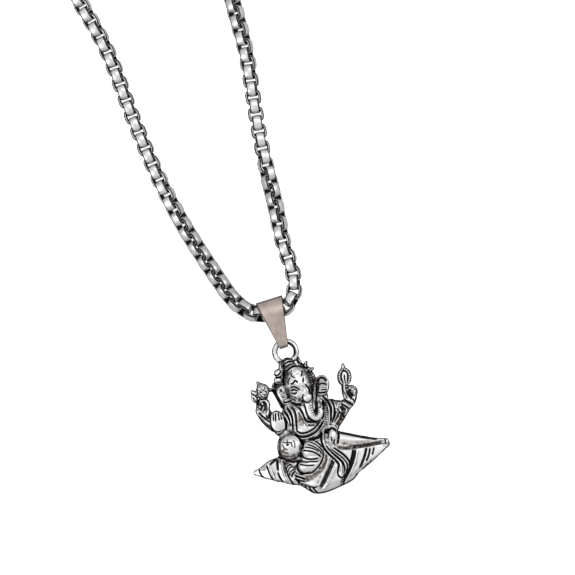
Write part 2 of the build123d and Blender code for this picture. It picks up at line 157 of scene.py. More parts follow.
# Painted shade and shadow on the hanging ring: its wire darkens towards its sides, inside towards the upper
# right and outside away from it
RING_SHADE_WAY = np.array((0.64, 0.77))      # from the ring's middle to its upper right
RING_INSIDE_TURN = (-0.1, 0.6)   # its inside darkens from here on towards that way
RING_INSIDE_SHADE = 0.75
RING_OUTSIDE_TURN = (0.3, 0.8)   # and its outside from here on away from it
RING_OUTSIDE_SHADE = 0.30
RING_SHADE_SPAN = (0.52, 0.88)         # where the painted shade darkens it, from its wire's middle, in half widths
# Black of the old silver oxide in the hollows, also used for the painted shade on steep sides, along the
# outline and on the ring
OXIDE_AND_SHADE = (0.030, 0.027, 0.025, 1)

# How bright the silver is by its mark, which holds oxide in its hollows and painted shade: from its high
# places to the bottom of a furrow
SILVER_TONES = [(0.30, (0.97, 0.97, 0.97, 1)), (0.50, (0.88, 0.87, 0.865, 1)), (0.58, (0.52, 0.50, 0.49, 1)),
                (0.68, (0.16, 0.148, 0.14, 1)), (0.80, OXIDE_AND_SHADE)]
BLOTCH_SPAN = (0.32, 0.68)
MOTTLING = 0.105                 # what a blotch adds to the mark, or takes from it
# Painted shade on the casting's steep sides, darker the more they face sideways
SIDE_SHADE_SPAN = (0.78, 0.14)         # upward share of the normal, from a front to a side
SIDE_SHADE_DARKNESS = 0.97
BLACK_SPAN = (0.56, 0.74)        # marks between which silver turns to rough black
BLACK_ROUGHNESS = 0.60

# Steel
HAIR_SPAN = (0.52, 0.70)         # noise from which a hair scratch sets in, and is full
BUMP_HEIGHT = 0.02 * MM
CHAIN_COLOUR = (0.90, 0.89, 0.885)
# Painted shade of the chain, inside each link, along its edges and round its corners
CHAIN_PAINTED_SHADE = (0.022, 0.020, 0.019, 1)
CHAIN_RIM_SHADE_SPAN = (0.47, 0.70)    # nearness to an edge where painted shade darkens a link
CHAIN_CORNER_SHADE_SPAN = (0.88, 1.05)   # and nearness to its corner, for the painted shade there
CLASP_COLOUR = (0.74, 0.73, 0.72)
CLOUD_DARKER, CLOUD_BRIGHTER = 0.93, 1.06
BAIL_TONES = [(0.12, (0.57, 0.48, 0.43, 1)), (0.38, (0.80, 0.70, 0.64, 1))]
# Painted shade of the bail, along the strip's edges and where it bends away from above
BAIL_PAINTED_SHADE = (0.11, 0.085, 0.075, 1)
BAIL_ROUGHNESS = (0.46, 0.66)
BAIL_BUMP = 0.35
BAIL_EDGE_SHADE_SPAN = (0.88, 0.97)     # share of the way from the strip's middle to its edge, where painted shade sets in and is full
BAIL_BEND_SHADE_SPAN = (0.60, 0.25)    # upward share of the normal, where painted shade sets in and is full

bail_low, bail_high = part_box("bail")
home = Vector(((bail_low.x + bail_high.x) / 2, bail_low.y + BAIL_REACH + FOOT_LIFT, 0))
chain_lift = bail_high.z / 2

# Casting: rounded forms. Columns: name, across, down, height, three half sizes, turn in degrees
MASSES = [
    ("crown finial", 288.0, 361.5, 10, 5.5, 3.6, 6, -15),
    ("crown cap", 290.5, 366, 12, 7.0, 4.5, 7, -20),
    ("crown drum", 295, 371, 14, 10.5, 5.5, 9, -12),
    ("crown brim", 299, 377, 11, 14.0, 7.0, 10, -14),
    ("petal root", 305, 370, 6, 7.5, 4.6, 6, -38),
    ("hair side", 310.0, 380.5, 7, 5.6, 9.0, 6, 0),
    ("neck bar", 280, 367, 5, 2.0, 5.0, 5, 0),
    ("knob bed", 281.8, 375, 6, 3.4, 11.0, 5, 4),
    ("upper knob", 278.2, 373.6, 8, 5.0, 4.4, 5, 0),
    ("lower knob", 277.9, 380.6, 8, 4.7, 3.9, 5, 0),
    ("ear root", 275.5, 386.5, 5, 4.3, 4.0, 4, 0),
    ("temple", 290.8, 380, 10, 6.8, 11.0, 8, -8),
    ("head", 298, 385, 14, 13.5, 17.5, 12, 8),
    ("forehead", 296.2, 372.7, 18, 5.4, 5.2, 6.5, 0),
    ("brow", 296.5, 381.5, 18, 8.0, 6.0, 7.5, -10),
    ("cheek", 299.5, 392.5, 17, 8.5, 8.0, 9, 0),
    ("snout", 304.5, 392, 18, 6.0, 9.0, 9, -10),
    ("chin", 297, 400, 13, 6.5, 5.0, 8, 10),
    ("tusk end", 306.8, 397, 24, 4.8, 4.7, 4.4, 0),
    ("small tusk", 302.2, 404, 16, 1.9, 2.0, 6, 0),
    ("left ear", 284, 395, 10, 8.5, 11, 7, 25),
    ("left ear lobe", 287.5, 403.8, 11, 5.5, 3.0, 6, -15),
    ("right ear", 321, 386, 9, 8.0, 11.0, 6.5, -5),
    ("nape", 312, 397, 6, 16, 10, 5, 0),
    ("chest", 307, 419, 10, 26, 19, 11, 0),
    ("belly", 306, 429, 13, 15, 13, 13, 0),
    ("left shoulder", 289.5, 413, 10, 8, 9.5, 7, 0),
    ("right shoulder", 331.5, 410, 9, 8.5, 11.0, 8, 10),
    ("open palm", 277.1, 422.6, 15, 7.7, 11.8, 4.6, 10),
    ("wrist", 282.5, 432.5, 8, 9.0, 5.5, 6, -15),
    ("axe head", 262.2, 391.3, 9, 6.8, 7.4, 5, 0),
    ("axe foot", 262.6, 396.5, 6, 5.2, 4.0, 5, 0),
    ("axe wing", 253.7, 398.4, 6, 3.2, 5.6, 4, 24),
    ("axe upper wing", 253.4, 393.4, 6, 4.0, 2.2, 4, -32),
    ("raised left hand", 262.6, 406, 8, 7.2, 8.0, 4, 0),
    ("raised right hand", 351, 392, 9, 6.5, 6.8, 5.5, 0),
    ("ornament hub", 344, 377.5, 5, 5.2, 7.5, 3.4, 0),
    ("resting hand", 332.3, 436.5, 15, 4.8, 8.8, 6.5, 5),
    ("left knee", 290.2, 447, 17, 11.8, 13.3, 10.5, 0),
    ("knee side", 283, 447.5, 6, 6.3, 12.5, 8, 0),
    ("right thigh", 311, 449.5, 16, 11.5, 11.0, 12.5, 0),
    ("right calf", 308.5, 465, 17, 11.5, 8.0, 9.5, 12),
    ("cloth fold", 310.4, 457.6, 16, 11.2, 6.0, 11.5, 3),
    ("foot", 289.5, 468.5, 15, 5.5, 7.0, 8, 20),
    ("anklet", 299.8, 476.8, 12, 6.0, 4.2, 7, 15),
    ("sash bed", 335, 459, 12, 9, 15, 5.5, 38),
]

# Casting: drawn forms. Each is a run of across, down, height and radius
LIMBS = [
    ("ring foot", [(285, 363, 5, 3), (288, 369, 7, 5)]),
    ("ring right foot", [(296.3, 356.8, 5, 1.8), (298.3, 361.5, 6, 2.2), (301, 366.5, 7, 2.4)]),
    ("first petal", [(304.2, 367.5, 5, 2.6), (305.2, 364.3, 5, 2.0), (306.3, 361.6, 4.5, 0.9)]),
    ("second petal", [(309, 371.5, 5, 2.8), (311, 369.6, 5, 2.1), (313.2, 368.2, 4.5, 0.8)]),
    ("axe bar", [(267, 390.5, 6, 1.7), (276, 390, 6, 2.2)]),
    ("ear edge", [(273.5, 391.5, 4, 2.0), (277.6, 398, 4, 2.3), (282, 406.4, 4, 2.5)]),
    ("axe tip", [(260.5, 388, 6, 4.6), (257.6, 384, 5, 1.9), (256.4, 381.9, 4, 0.7)]),
    ("trunk", [(306.8, 399, 21, 4.4), (307.9, 404, 22, 4.2), (309.2, 409, 22, 3.8), (311, 414, 22, 3.6),
               (314.6, 417.4, 22, 3.4), (318.3, 416, 22, 3.1), (320.0, 412, 22, 2.9),
               (319.5, 409.4, 22, 2.4)]),
    ("left arm", [(289, 416, 11, 7), (278.5, 426.8, 8, 7), (267.8, 419.6, 7, 7), (262, 411, 7, 7.2)]),
    ("right arm", [(334, 408.5, 9, 8.4), (341, 408, 8.5, 8), (346.5, 404.5, 8, 6.2),
                   (350.3, 399, 8, 6.2), (351, 392, 8, 6)]),
    ("ornament stem", [(343.6, 382, 6, 2.2), (343.2, 387, 7, 2.3), (344.5, 393, 8, 3.0),
                       (347.5, 399.5, 9, 4.0)]),
    ("ornament tip", [(342.7, 369, 5.5, 2.3), (342.6, 366.5, 5, 2.2), (342.5, 364.4, 4.5, 1.2)]),
    ("lower right arm", [(342, 408, 10, 7.5), (338.5, 416.5, 11.5, 6.3), (334.3, 425, 13, 5.2),
                         (332, 434, 14, 4.5)]),
    ("shin", [(299, 451, 14, 6), (291, 463, 15, 6)]),
    ("shell", [(255.8, 473.6, 1.5, 3.0), (259.5, 473.3, 2, 4.6), (265, 472.4, 2, 7.8),
               (272, 471, 3, 10.9), (279, 470.3, 3, 13.1), (287, 468.8, 4, 17.5), (296, 465.8, 4, 22.4),
               (305, 464, 4, 28), (315, 463, 4, 31.8), (328, 461, 4, 30.2), (340, 458.9, 4, 26.4),
               (350, 455.2, 4, 22), (360, 452.4, 3, 17), (372, 448.7, 3, 11.2), (381, 445.9, 2, 6.8),
               (386, 444.3, 2, 3.9)]),
    ("shell lip", [(337, 438.5, 12, 7.5), (350, 440.3, 12, 6.8), (360, 440.8, 11, 5.3),
                   (371, 441.2, 9, 3.7), (380, 441, 7, 2.6), (386, 441.5, 5, 2.8)]),
]

# Fine relief, drawn on the chart. Columns: name, half width, height, places across and down.
# A height above zero is a raised cord, and one below zero a furrow
# Furrows also darken the silver's mark like its hollows, and cords lighten it; the wide strokes named shade,
# dark side or light paint shade or light on the casting
STROKES = [
    # Crown
    ("finial top band", 1.2, 1.4, [(284.5, 362.3), (288, 360), (291.5, 360)]),
    ("finial middle band", 1.2, 1.4, [(284.3, 366), (288, 363.4), (293.5, 362.4)]),
    ("finial lower band", 1.2, 1.4, [(285.5, 369.3), (288.4, 366.4), (292.5, 364.6), (298.5, 364.7)]),
    ("finial arc", 0.7, -1.4, [(282.6, 361.8), (287, 358.6), (291.5, 358.2), (294.4, 360)]),
    ("finial furrow", 0.6, -1.2, [(284, 364), (288, 361.6), (292.5, 361)]),
    ("drum furrow", 0.6, -1.4, [(284.6, 367.4), (288.6, 364.7), (292, 363.8), (297, 362.8)]),
    ("brim furrow", 0.8, -2.0, [(286, 371.4), (289.5, 368.3), (292.8, 366.4), (297, 366.3), (302, 366.8),
                                (308, 369.8)]),
    ("crown right furrow", 0.9, -2.2, [(295.4, 359.4), (298.4, 362.4), (302, 366)]),
    ("first petal middle", 1.0, 1.6, [(305.5, 361.5), (304.5, 365.5)]),
    ("second petal middle", 1.1, 1.6, [(312.5, 368.5), (309.5, 370.8)]),
    ("petal furrow", 0.8, -2.5, [(301.5, 363), (304, 367), (307.5, 367.5), (309, 366.5)]),
    ("head dark side", 3.4, -2.0, [(306.4, 370.2), (310, 375.6), (312.4, 382), (312, 388)]),
    ("neck bar light", 0.9, 1.2, [(280, 364.5), (280.3, 369)]),
    ("neck bar furrow", 0.9, -1.9, [(283.2, 364), (283.2, 370), (283.0, 377), (282.9, 384)]),
    ("knob furrow", 0.8, -3.0, [(273.5, 376.6), (277.0, 377.8), (281, 377.0)]),
    ("upper knob curl", 0.7, -2.2, [(274.2, 374.8), (276.4, 375.6), (278.6, 374.4), (280.6, 371.6)]),
    ("lower knob curl", 0.6, -1.8, [(276, 382), (278.5, 382.6), (280, 382)]),
    ("hollow under the knobs", 2.6, -3.4, [(273, 386), (276.5, 387)]),
    ("ear edge shade", 1.3, -3.4, [(272.4, 391.4), (276.0, 397), (279.4, 402), (282.6, 408.6)]),
    ("axe bar end shade", 1.8, -2.6, [(271.6, 390.6), (275.0, 390.4)]),
    ("axe face light", 4.6, 0.6, [(261.6, 385), (262.4, 391), (262.2, 397)]),
    ("hair side shade", 2.8, -1.5, [(288.4, 369.8), (285.6, 375.5), (284.8, 383)]),
    ("temple light", 1.2, 1.0, [(290.6, 376.6), (289.0, 381), (288.6, 384)]),
    ("hair side furrow", 0.7, -1.6, [(284.0, 372.5), (283.9, 379), (284.2, 384.5)]),
    # Face
    ("forehead left furrow", 0.7, -1.3, [(291.3, 369.7), (290.3, 373), (291.8, 376.4), (294.5, 377.2)]),
    ("forehead right furrow", 0.7, -1.5, [(301, 370), (301.6, 373), (300.6, 376)]),
    ("forehead leaf", 0.8, 1.6, [(302.8, 371), (302.6, 376)]),
    ("forehead slope", 0.8, -1.6, [(289.8, 377), (287.8, 381), (287.6, 384.5)]),
    ("brow notch", 0.8, -2.0, [(290.5, 383.9), (293.5, 382), (294.6, 380.2), (297.2, 382.3)]),
    ("temple notch", 0.9, -2.0, [(302.8, 378), (302.6, 381.5)]),
    ("brow fold", 0.9, 1.4, [(289.5, 386.5), (293.5, 385), (297.5, 386.8), (300, 388.6)]),
    ("upper lid", 0.8, 1.5, [(289.3, 389.3), (292.5, 387.9), (296, 388.8), (298.6, 390.8)]),
    ("lid furrow", 0.6, -1.5, [(290.2, 387.4), (293, 386.2), (296.5, 387.2), (299.0, 389.3)]),
    ("eye outline above", 0.6, -1.7, [(290.2, 391.0), (292.0, 389.5), (294.8, 389.3), (297.6, 390.8)]),
    ("eye outline below", 0.6, -1.8, [(290.4, 392.4), (292, 393.6), (294.8, 393.4), (296.6, 392.2)]),
    ("eyeball", 1.3, 1.6, [(291.9, 391.7), (294.3, 391.2), (295.6, 391)]),
    ("cheek line", 0.7, -1.2, [(290.5, 395.5), (293, 399), (296, 402)]),
    ("cheek shade", 3.4, -1.0, [(293.4, 397), (297, 399.4), (300.4, 400)]),
    ("cheek scroll", 1.1, 1.0, [(292.5, 395), (296, 396.6), (297.5, 399.4), (295.5, 401)]),
    ("tusk outline", 0.7, -1.9, [(302.8, 393.8), (302.0, 397.5), (303.6, 401), (307, 402.2),
                                 (310.4, 400.8)]),
    ("tusk root beads", 0.9, 1.2, [(305.6, 379), (308, 382.5), (311, 385.5)]),
    ("tusk root leaf", 1.1, 1.6, [(303.3, 384), (306.5, 388), (307.6, 391.5)]),
    ("tusk root side", 1.0, -2.4, [(305, 384.5), (308.5, 388.5), (309.4, 393)]),
    ("jaw furrow", 1.5, -2.2, [(291.6, 402.4), (296, 404.2), (300.4, 404.6)]),
    ("ear strap", 0.9, 1.5, [(312.8, 385), (313.3, 391), (313.2, 399)]),
    ("ear strap left furrow", 0.8, -2.0, [(310.6, 386), (311.2, 392), (311.9, 399)]),
    ("ear strap right furrow", 0.9, -2.0, [(315.8, 384), (316.0, 391), (315.8, 400)]),
    # Left ear
    ("left ear rim", 1.7, 1.6, [(284.5, 386), (280, 387.6), (277, 391), (278.5, 395), (281, 399.5),
                                (282.8, 404.5)]),
    ("left ear hollow", 2.2, -1.7, [(286.2, 388), (288.0, 393), (288.6, 399)]),
    ("left ear hollow edge", 1.0, -1.8, [(280.4, 389.8), (281.0, 392.3)]),
    ("left ear first rib", 0.8, 1.6, [(280.8, 392.6), (283.5, 391.2), (285.5, 390.6)]),
    ("left ear second rib", 0.8, 1.4, [(281.2, 395.3), (283.8, 394.2), (286, 393.4)]),
    ("left ear third rib", 1.0, 1.6, [(282, 399), (285, 398.2), (287.5, 396)]),
    ("left ear lobe furrow", 0.7, -1.8, [(282.4, 402.3), (287, 402.2), (291.5, 399.8)]),
    ("left ear lobe cord", 0.9, 1.6, [(283.4, 404.1), (288, 403.2), (292, 400.9)]),
    ("left ear foot cord", 0.9, 1.5, [(284, 406.7), (288, 405.6), (291.5, 403.4)]),
    # Right ear
    ("right ear rim", 1.6, 1.6, [(315, 377.5), (318.5, 375), (323, 375.4), (326.8, 378), (328, 383),
                                 (327.6, 389), (327, 395)]),
    ("right ear hollow", 1.1, -2.0, [(316.5, 381), (319.5, 378), (323, 377.9), (325.6, 380.5)]),
    ("right ear shade", 2.0, -1.7, [(316.8, 379.6), (316.6, 385), (316.8, 391)]),
    ("right ear first rib", 0.9, 1.6, [(318, 382.3), (321.5, 380.6), (325.5, 382)]),
    ("right ear second rib", 0.8, -2.2, [(317.8, 385), (321.6, 383.4), (326, 384.4)]),
    ("right ear third rib", 0.9, 1.4, [(318.4, 387.6), (322, 386.2), (326, 386.8)]),
    ("right ear fourth rib", 0.7, -1.6, [(320, 390.4), (323, 389.7), (326, 390)]),
    ("right ear foot furrow", 0.8, -2.4, [(317, 392.6), (321.5, 392.7), (326.5, 392)]),
    ("right ear foot band", 1.1, 1.6, [(317, 394.3), (321.5, 394.5), (326.5, 394)]),
    # Trunk
    ("trunk left furrow", 0.8, -2.0, [(303.4, 403), (305.0, 408), (306.4, 413.5), (309.6, 419),
                                      (314.6, 421.6), (319.4, 419.8)]),
    # Chest
    ("first drape", 1.0, 1.6, [(281.5, 412), (285, 416), (287.8, 421), (289, 426)]),
    ("second drape", 1.1, 1.8, [(284.8, 409), (288, 413.5), (290.3, 419), (291, 425)]),
    ("third drape", 1.4, 2.0, [(288.8, 407.4), (291.8, 412), (293.4, 418), (293.8, 424), (294.4, 429.5)]),
    ("first drape furrow", 0.7, -2.0, [(283, 410.5), (286.5, 415), (289, 420.5), (290, 426)]),
    ("second drape furrow", 0.8, -2.2, [(286.6, 407.6), (290, 412.5), (292, 419), (292.3, 427),
                                        (292.5, 433)]),
    ("third drape furrow", 0.8, -2.4, [(291.5, 406.5), (294.3, 411), (295.8, 417), (296, 424),
                                       (296.6, 430)]),
    ("necklace", 1.0, 1.8, [(294.5, 406.5), (298.3, 410), (301, 414.5), (303, 419), (305.2, 422.3),
                            (309, 423), (315, 422.7)]),
    ("necklace furrow", 0.9, -2.2, [(298, 406.5), (301.5, 411.5), (303.8, 417), (306.3, 420.4),
                                    (311, 421.2)]),
    ("necklace lower furrow", 0.7, -1.0, [(305.2, 424.6), (310, 425.2), (315, 424.9)]),
    ("chest shade", 3.2, -0.7, [(299.4, 412), (299.2, 418), (300.6, 425)]),
    ("inner belly cord", 0.9, 1.9, [(294.6, 430.5), (298, 433.8), (303, 434.3), (308.5, 432.8),
                                    (314, 429.3), (318.5, 424.8), (321.5, 419.5)]),
    ("inner belly furrow", 0.7, -2.0, [(296, 429.8), (299, 432), (303.5, 432.4), (309, 430.6),
                                       (314.5, 426.8), (319, 421.5)]),
    ("outer belly furrow", 0.7, -2.2, [(293.3, 432.5), (298, 436.2), (304, 436.3), (310, 434.6),
                                       (316, 430.8), (320.3, 426), (323.2, 420)]),
    ("outer belly cord", 1.0, 1.9, [(294.6, 435.5), (300, 438.2), (305.5, 438), (311, 436.2),
                                    (316.5, 432.6), (321, 427.8), (324.2, 421.5)]),
    ("belly fold", 1.0, 1.5, [(313.5, 436.8), (317, 434.6), (320.6, 431.4)]),
    ("belly fold furrow", 0.8, -2.0, [(308, 439.6), (313, 438.7), (318, 437), (321, 434)]),
    ("belly low cord", 1.1, 1.6, [(313, 440.4), (317.5, 439.2), (320.6, 437.6)]),
    ("lap furrow", 1.0, -2.4, [(301.8, 441), (302.6, 445), (301, 449)]),
    # Right side of the chest
    ("right chest beads bed", 1.5, -2.6, [(324.2, 404), (325.5, 410), (325.6, 417), (324.8, 425)]),
    ("right first strand", 1.1, 2.0, [(320.5, 397.5), (324.5, 401.5), (327.6, 406.5), (328.7, 413),
                                      (328.8, 420), (327.8, 426)]),
    ("right first furrow", 0.7, -2.0, [(322.5, 396.6), (327, 401), (330, 407), (330.7, 414), (330.4, 421)]),
    ("right second strand", 1.1, 1.9, [(326.2, 397.3), (329.5, 401.5), (331.9, 407), (332.2, 413),
                                       (331.5, 419)]),
    ("right second furrow", 0.7, -2.0, [(328.5, 396.6), (332, 401.5), (334, 407), (334.2, 413),
                                        (333, 419)]),
    ("right third strand", 1.2, 1.4, [(332.6, 400.5), (334.0, 404), (334.8, 408.5)]),
    ("right small strand", 1.2, 1.4, [(338.2, 401.6), (337.2, 405), (336.2, 408.6)]),
    ("right fourth strand", 1.0, 1.6, [(335.5, 410), (338.3, 413.5), (339.3, 417.5)]),
    ("under the trunk furrow", 1.6, -2.4, [(315.6, 401), (315.8, 407), (315.4, 412.5)]),
    ("beside the trunk furrow", 0.8, -2.2, [(322.6, 399), (323, 406), (323.4, 414), (321.5, 420)]),
    ("beside the trunk leaf", 0.9, 1.4, [(316.6, 400.5), (319, 403)]),
    ("beside the trunk strand", 1.0, 1.4, [(320.6, 401.5), (321.2, 406.5)]),
    # Right arm
    ("upper arm hollow", 2.6, -2.8, [(340.6, 405.6), (342.4, 408.4), (343.6, 410.4)]),
    ("upper arm light", 1.4, 1.6, [(346.2, 409), (345.8, 412), (343.8, 415)]),
    ("upper arm curl", 0.8, -2.0, [(337.6, 411.6), (341, 413.4), (343.6, 417.6)]),
    ("lower arm left furrow", 1.0, -2.4, [(334.6, 411), (334.0, 416), (331.6, 421.6)]),
    ("upper arm shade", 2.4, -1.3, [(338.5, 409), (336.8, 414), (334.8, 420)]),
    ("arm dark side", 2.2, -2.1, [(343.0, 411.2), (341.8, 415.6), (338.8, 421), (336.2, 425.4)]),
    ("lower arm second line", 0.6, -1.6, [(338.8, 411.4), (336.6, 416.4), (333.6, 422.6)]),
    ("armlet first band", 1.4, 1.6, [(341.4, 401.8), (345, 403.4), (350.6, 407.6)]),
    ("armlet furrow", 0.8, -2.6, [(344.2, 399.8), (347.6, 401.8), (352.6, 405.6)]),
    ("armlet second furrow", 0.8, -2.2, [(340.6, 403.8), (344, 405.6), (348, 408.8)]),
    ("bracelet", 1.5, 1.4, [(349.8, 399.8), (351.4, 401.2), (352.6, 403.2)]),
    ("bracelet furrow", 0.7, -2.0, [(349.4, 397.6), (352.6, 399.4), (354.8, 402.2)]),
    ("forearm light", 1.4, 1.4, [(343.9, 385), (343.9, 390), (346.2, 395), (348.4, 398.4)]),
    ("hand hollow", 2.9, -2.6, [(347.0, 390.4), (349.2, 393.8), (352.2, 396.8)]),
    ("hand right shade", 1.7, -2.4, [(357.2, 389.4), (357.2, 395), (355.6, 400.4)]),
    ("forearm left shade", 1.1, -2.0, [(341.2, 385.6), (341.7, 392), (342.3, 399)]),
    # Left arm and hands
    ("left hand hollow", 4.4, -2.3, [(260.6, 402), (262.6, 406.5), (262.4, 411)]),
    ("left palm band", 1.9, 1.5, [(263.6, 399.6), (267.4, 402.6), (268.4, 407.5), (268.0, 412),
                                  (265.6, 417)]),
    ("left palm furrow", 0.7, -2.2, [(258, 399.8), (262, 399.6), (265.4, 399.0), (268.4, 398.2)]),
    ("first finger", 1.5, 2.6, [(261.4, 403), (262.4, 405)]),
    ("second finger", 1.4, 2.6, [(258.9, 405.8), (260.2, 407.8)]),
    ("third finger", 1.4, 2.4, [(256.4, 408.6), (258.4, 409.4)]),
    ("inner finger", 1.2, 2.5, [(263.6, 406.5), (261.4, 412)]),
    ("left forearm edge", 0.8, 1.4, [(256.8, 414), (260.5, 417.5), (264, 419.5)]),
    ("left forearm furrow", 0.9, -2.4, [(258.4, 412.8), (262.5, 416.6), (266, 419.5), (269, 422)]),
    ("left wrist furrow", 0.8, -2.2, [(265.5, 415), (267.6, 418.5), (269.8, 414.5)]),
    ("left arm under shade", 1.7, -2.0, [(257.4, 416.5), (262.6, 422.4), (270, 428), (276.4, 434)]),
    ("palm first slit", 0.6, -2.6, [(272.8, 414), (273.0, 420.5)]),
    ("palm second slit", 0.7, -3.0, [(275.0, 413.5), (275.3, 421)]),
    ("palm third slit", 0.7, -3.0, [(277.8, 413.2), (278.8, 420)]),
    ("palm fourth slit", 0.6, -2.2, [(280.3, 414.6), (281.0, 419.5)]),
    ("palm crease", 0.6, -1.8, [(275, 431.6), (278, 431.8), (281, 430.8)]),
    ("palm thumb edge", 0.9, 1.2, [(282.4, 418), (284.2, 424), (284.0, 430)]),
    ("palm thumb furrow", 0.9, -2.4, [(284.4, 417.5), (285.8, 423), (285.6, 430)]),
    ("palm left edge", 0.8, -2.0, [(269.9, 414), (269.9, 421), (271.9, 429), (275.6, 434.2), (281, 434.8)]),
    ("axe wing furrow", 0.6, -1.8, [(250.6, 393.4), (253.4, 395.4), (256.6, 397.0)]),
    ("axe wing lower furrow", 0.6, -1.6, [(252.2, 397.4), (254.0, 400.4), (256.4, 403)]),
    ("axe side furrow", 0.6, -1.6, [(256.2, 386), (256.8, 391), (257.6, 397.6)]),
    ("axe first hatch", 0.5, -1.2, [(258.6, 386.6), (262.4, 390.4), (267.4, 392.6)]),
    ("axe second hatch", 0.5, -1.2, [(258.0, 389.6), (261.8, 393.6), (266.4, 396.2)]),
    ("axe third hatch", 0.5, -1.2, [(258.2, 393.2), (261.4, 396.6), (264.4, 398.2)]),
    ("axe cross hatch", 0.5, -1.1, [(265.4, 386.8), (262.8, 390.6), (258.6, 393.6)]),
    ("axe foot hollow", 1.6, -3.0, [(257.8, 399.6), (257.6, 402.6), (256.6, 405.6)]),
    # Right lower hand
    ("cuff", 1.3, 1.6, [(327.2, 428.4), (331, 425.4), (336, 428)]),
    ("cuff furrow", 0.8, -2.6, [(327.6, 431), (331.5, 428.2), (335.8, 431)]),
    ("resting hand rim", 1.1, 1.4, [(329, 433), (329, 437.5), (330.4, 443)]),
    ("resting hand first slit", 0.6, -1.8, [(331, 436.5), (331.6, 441)]),
    ("resting hand second slit", 0.6, -1.6, [(333.2, 439.5), (334.6, 445.5)]),
    ("resting hand third slit", 0.6, -1.6, [(334.4, 439), (332.2, 444)]),
    ("beside the hand furrow", 1.2, -2.2, [(337.6, 430), (338, 437), (337, 444)]),
    # Knee and lap
    ("knee shade", 6.0, -1.9, [(281.0, 449), (283.4, 455.6), (290, 459.4), (297.0, 456.8)]),
    ("knee right furrow", 0.9, -2.4, [(295.5, 434.5), (300.0, 438.6), (302.2, 443.4), (302.6, 448)]),
    ("lap first cord", 0.8, 1.2, [(292.6, 434.6), (297.4, 438.6), (300.6, 444.5)]),
    ("lap pebbles bed", 1.2, -2.4, [(299.8, 446), (300.2, 451), (298.4, 456)]),
    ("knee foot furrow", 0.9, -2.0, [(280.4, 457.6), (287, 460.4), (293, 461.6), (299, 460.2)]),
    ("knee seam", 0.9, -1.8, [(279.6, 438), (279.3, 446), (279.8, 456)]),
    ("knee scratch one", 0.5, -1.2, [(282.0, 441.0), (284.8, 442.2), (288.0, 441.6), (290.4, 442.6)]),
    ("knee scratch two", 0.5, -1.2, [(286.2, 438.6), (287.0, 441.6), (286.0, 445.4)]),
    ("knee scratch three", 0.7, -1.7, [(286.2, 444.8), (288.4, 443.4)]),
    ("knee scratch four", 0.6, -1.6, [(290.6, 441.4), (291.2, 444.2), (292.0, 446.4)]),
    ("knee scratch five", 0.5, -1.1, [(283.0, 446.4), (285.6, 448.6), (288, 449.4)]),
    ("knee scratch six", 0.5, -1.1, [(281.2, 444.2), (283.2, 446.6), (283.6, 450.4)]),
    ("knee scratch seven", 0.5, -1.1, [(292.8, 439.6), (294.4, 443.4), (294.2, 448)]),
    ("knee scratch eight", 0.5, -1.0, [(282, 451.4), (285.4, 452.6), (288.6, 452.4)]),
    ("knee scratch nine", 0.5, -0.9, [(285, 455.6), (289.4, 456.2), (293.6, 455.2)]),
    # Thigh cloth
    ("thigh first furrow", 0.6, -1.9, [(312, 439.6), (317, 442), (321, 446)]),
    ("thigh second furrow", 0.6, -2.0, [(309.5, 441.2), (315, 443.9), (319.3, 447.3), (322.3, 450.5)]),
    ("thigh third furrow", 0.7, -2.0, [(307, 443.8), (312.5, 445.6), (317.6, 448.8), (321.6, 453)]),
    ("thigh fourth furrow", 0.7, -1.8, [(304, 446.4), (309, 447), (314, 448.6), (318.6, 451.4)]),
    ("thigh fifth furrow", 0.8, -2.2, [(302, 450), (308.5, 450.3), (315, 452.4), (320.6, 456.6)]),
    ("thigh sixth furrow", 0.9, -2.2, [(300, 454.8), (305, 457.7), (311, 458.6), (317.5, 457.6)]),
    ("calf first furrow", 0.6, -1.6, [(299, 460.4), (305, 461.6), (311, 460.9), (317, 461.4)]),
    ("calf second furrow", 0.7, -2.0, [(299.3, 463.8), (306, 464.8), (314, 464.6)]),
    ("calf back furrow", 0.8, -2.2, [(297.4, 461), (296.8, 467), (298.6, 471.6), (304, 473.0),
                                     (309, 471.5)]),
    ("calf edge furrow", 0.8, -2.0, [(322.9, 450), (322.2, 458), (318, 466), (310.5, 472.4), (300, 473.6)]),
    # Foot
    ("foot light", 3.4, 0.9, [(288.0, 466.5), (290.4, 470.5)]),
    ("first toe furrow", 0.6, -2.2, [(286.0, 468.8), (287.2, 465.3), (290.4, 463.6)]),
    ("second toe furrow", 0.6, -2.2, [(287.3, 471.6), (289, 467.6), (292.7, 465.8)]),
    ("third toe furrow", 0.6, -2.2, [(288.6, 475.0), (290.6, 470.8), (293.8, 468.8)]),
    ("foot furrow", 0.8, -2.4, [(291.4, 477), (292.4, 473), (294.6, 471)]),
    ("anklet first bar", 1.2, 1.8, [(295.2, 473.6), (300, 475.2), (304.6, 477)]),
    ("anklet second bar", 1.1, 1.8, [(295.6, 477.4), (299.5, 478.6), (303, 480.2)]),
    ("anklet furrow", 0.8, -2.6, [(294.6, 475.5), (299.4, 476.9), (305, 479)]),
    ("anklet lower furrow", 0.9, -2.6, [(294.6, 479.2), (299, 480.5), (304.5, 481)]),
    # Sash
    ("sash first cord", 1.4, 2.0, [(323.2, 430), (322.6, 437), (323.8, 443.5), (327.3, 449.3),
                                   (333.5, 455.8), (339.4, 461.6), (341.0, 467.5), (340.6, 474.4)]),
    ("sash second cord", 1.2, 2.0, [(326.6, 444.4), (332, 450.3), (339, 456.3), (344, 461.6),
                                    (345.6, 467), (344.0, 473.4)]),
    ("sash third cord", 1.0, 1.8, [(330.6, 447.4), (337, 452), (343, 457), (347.6, 462.6), (348.3, 468.6)]),
    ("sash first furrow", 0.8, -2.4, [(325, 444.6), (329.4, 450.3), (336, 456.6), (341.8, 462),
                                      (344.3, 468), (343.5, 474)]),
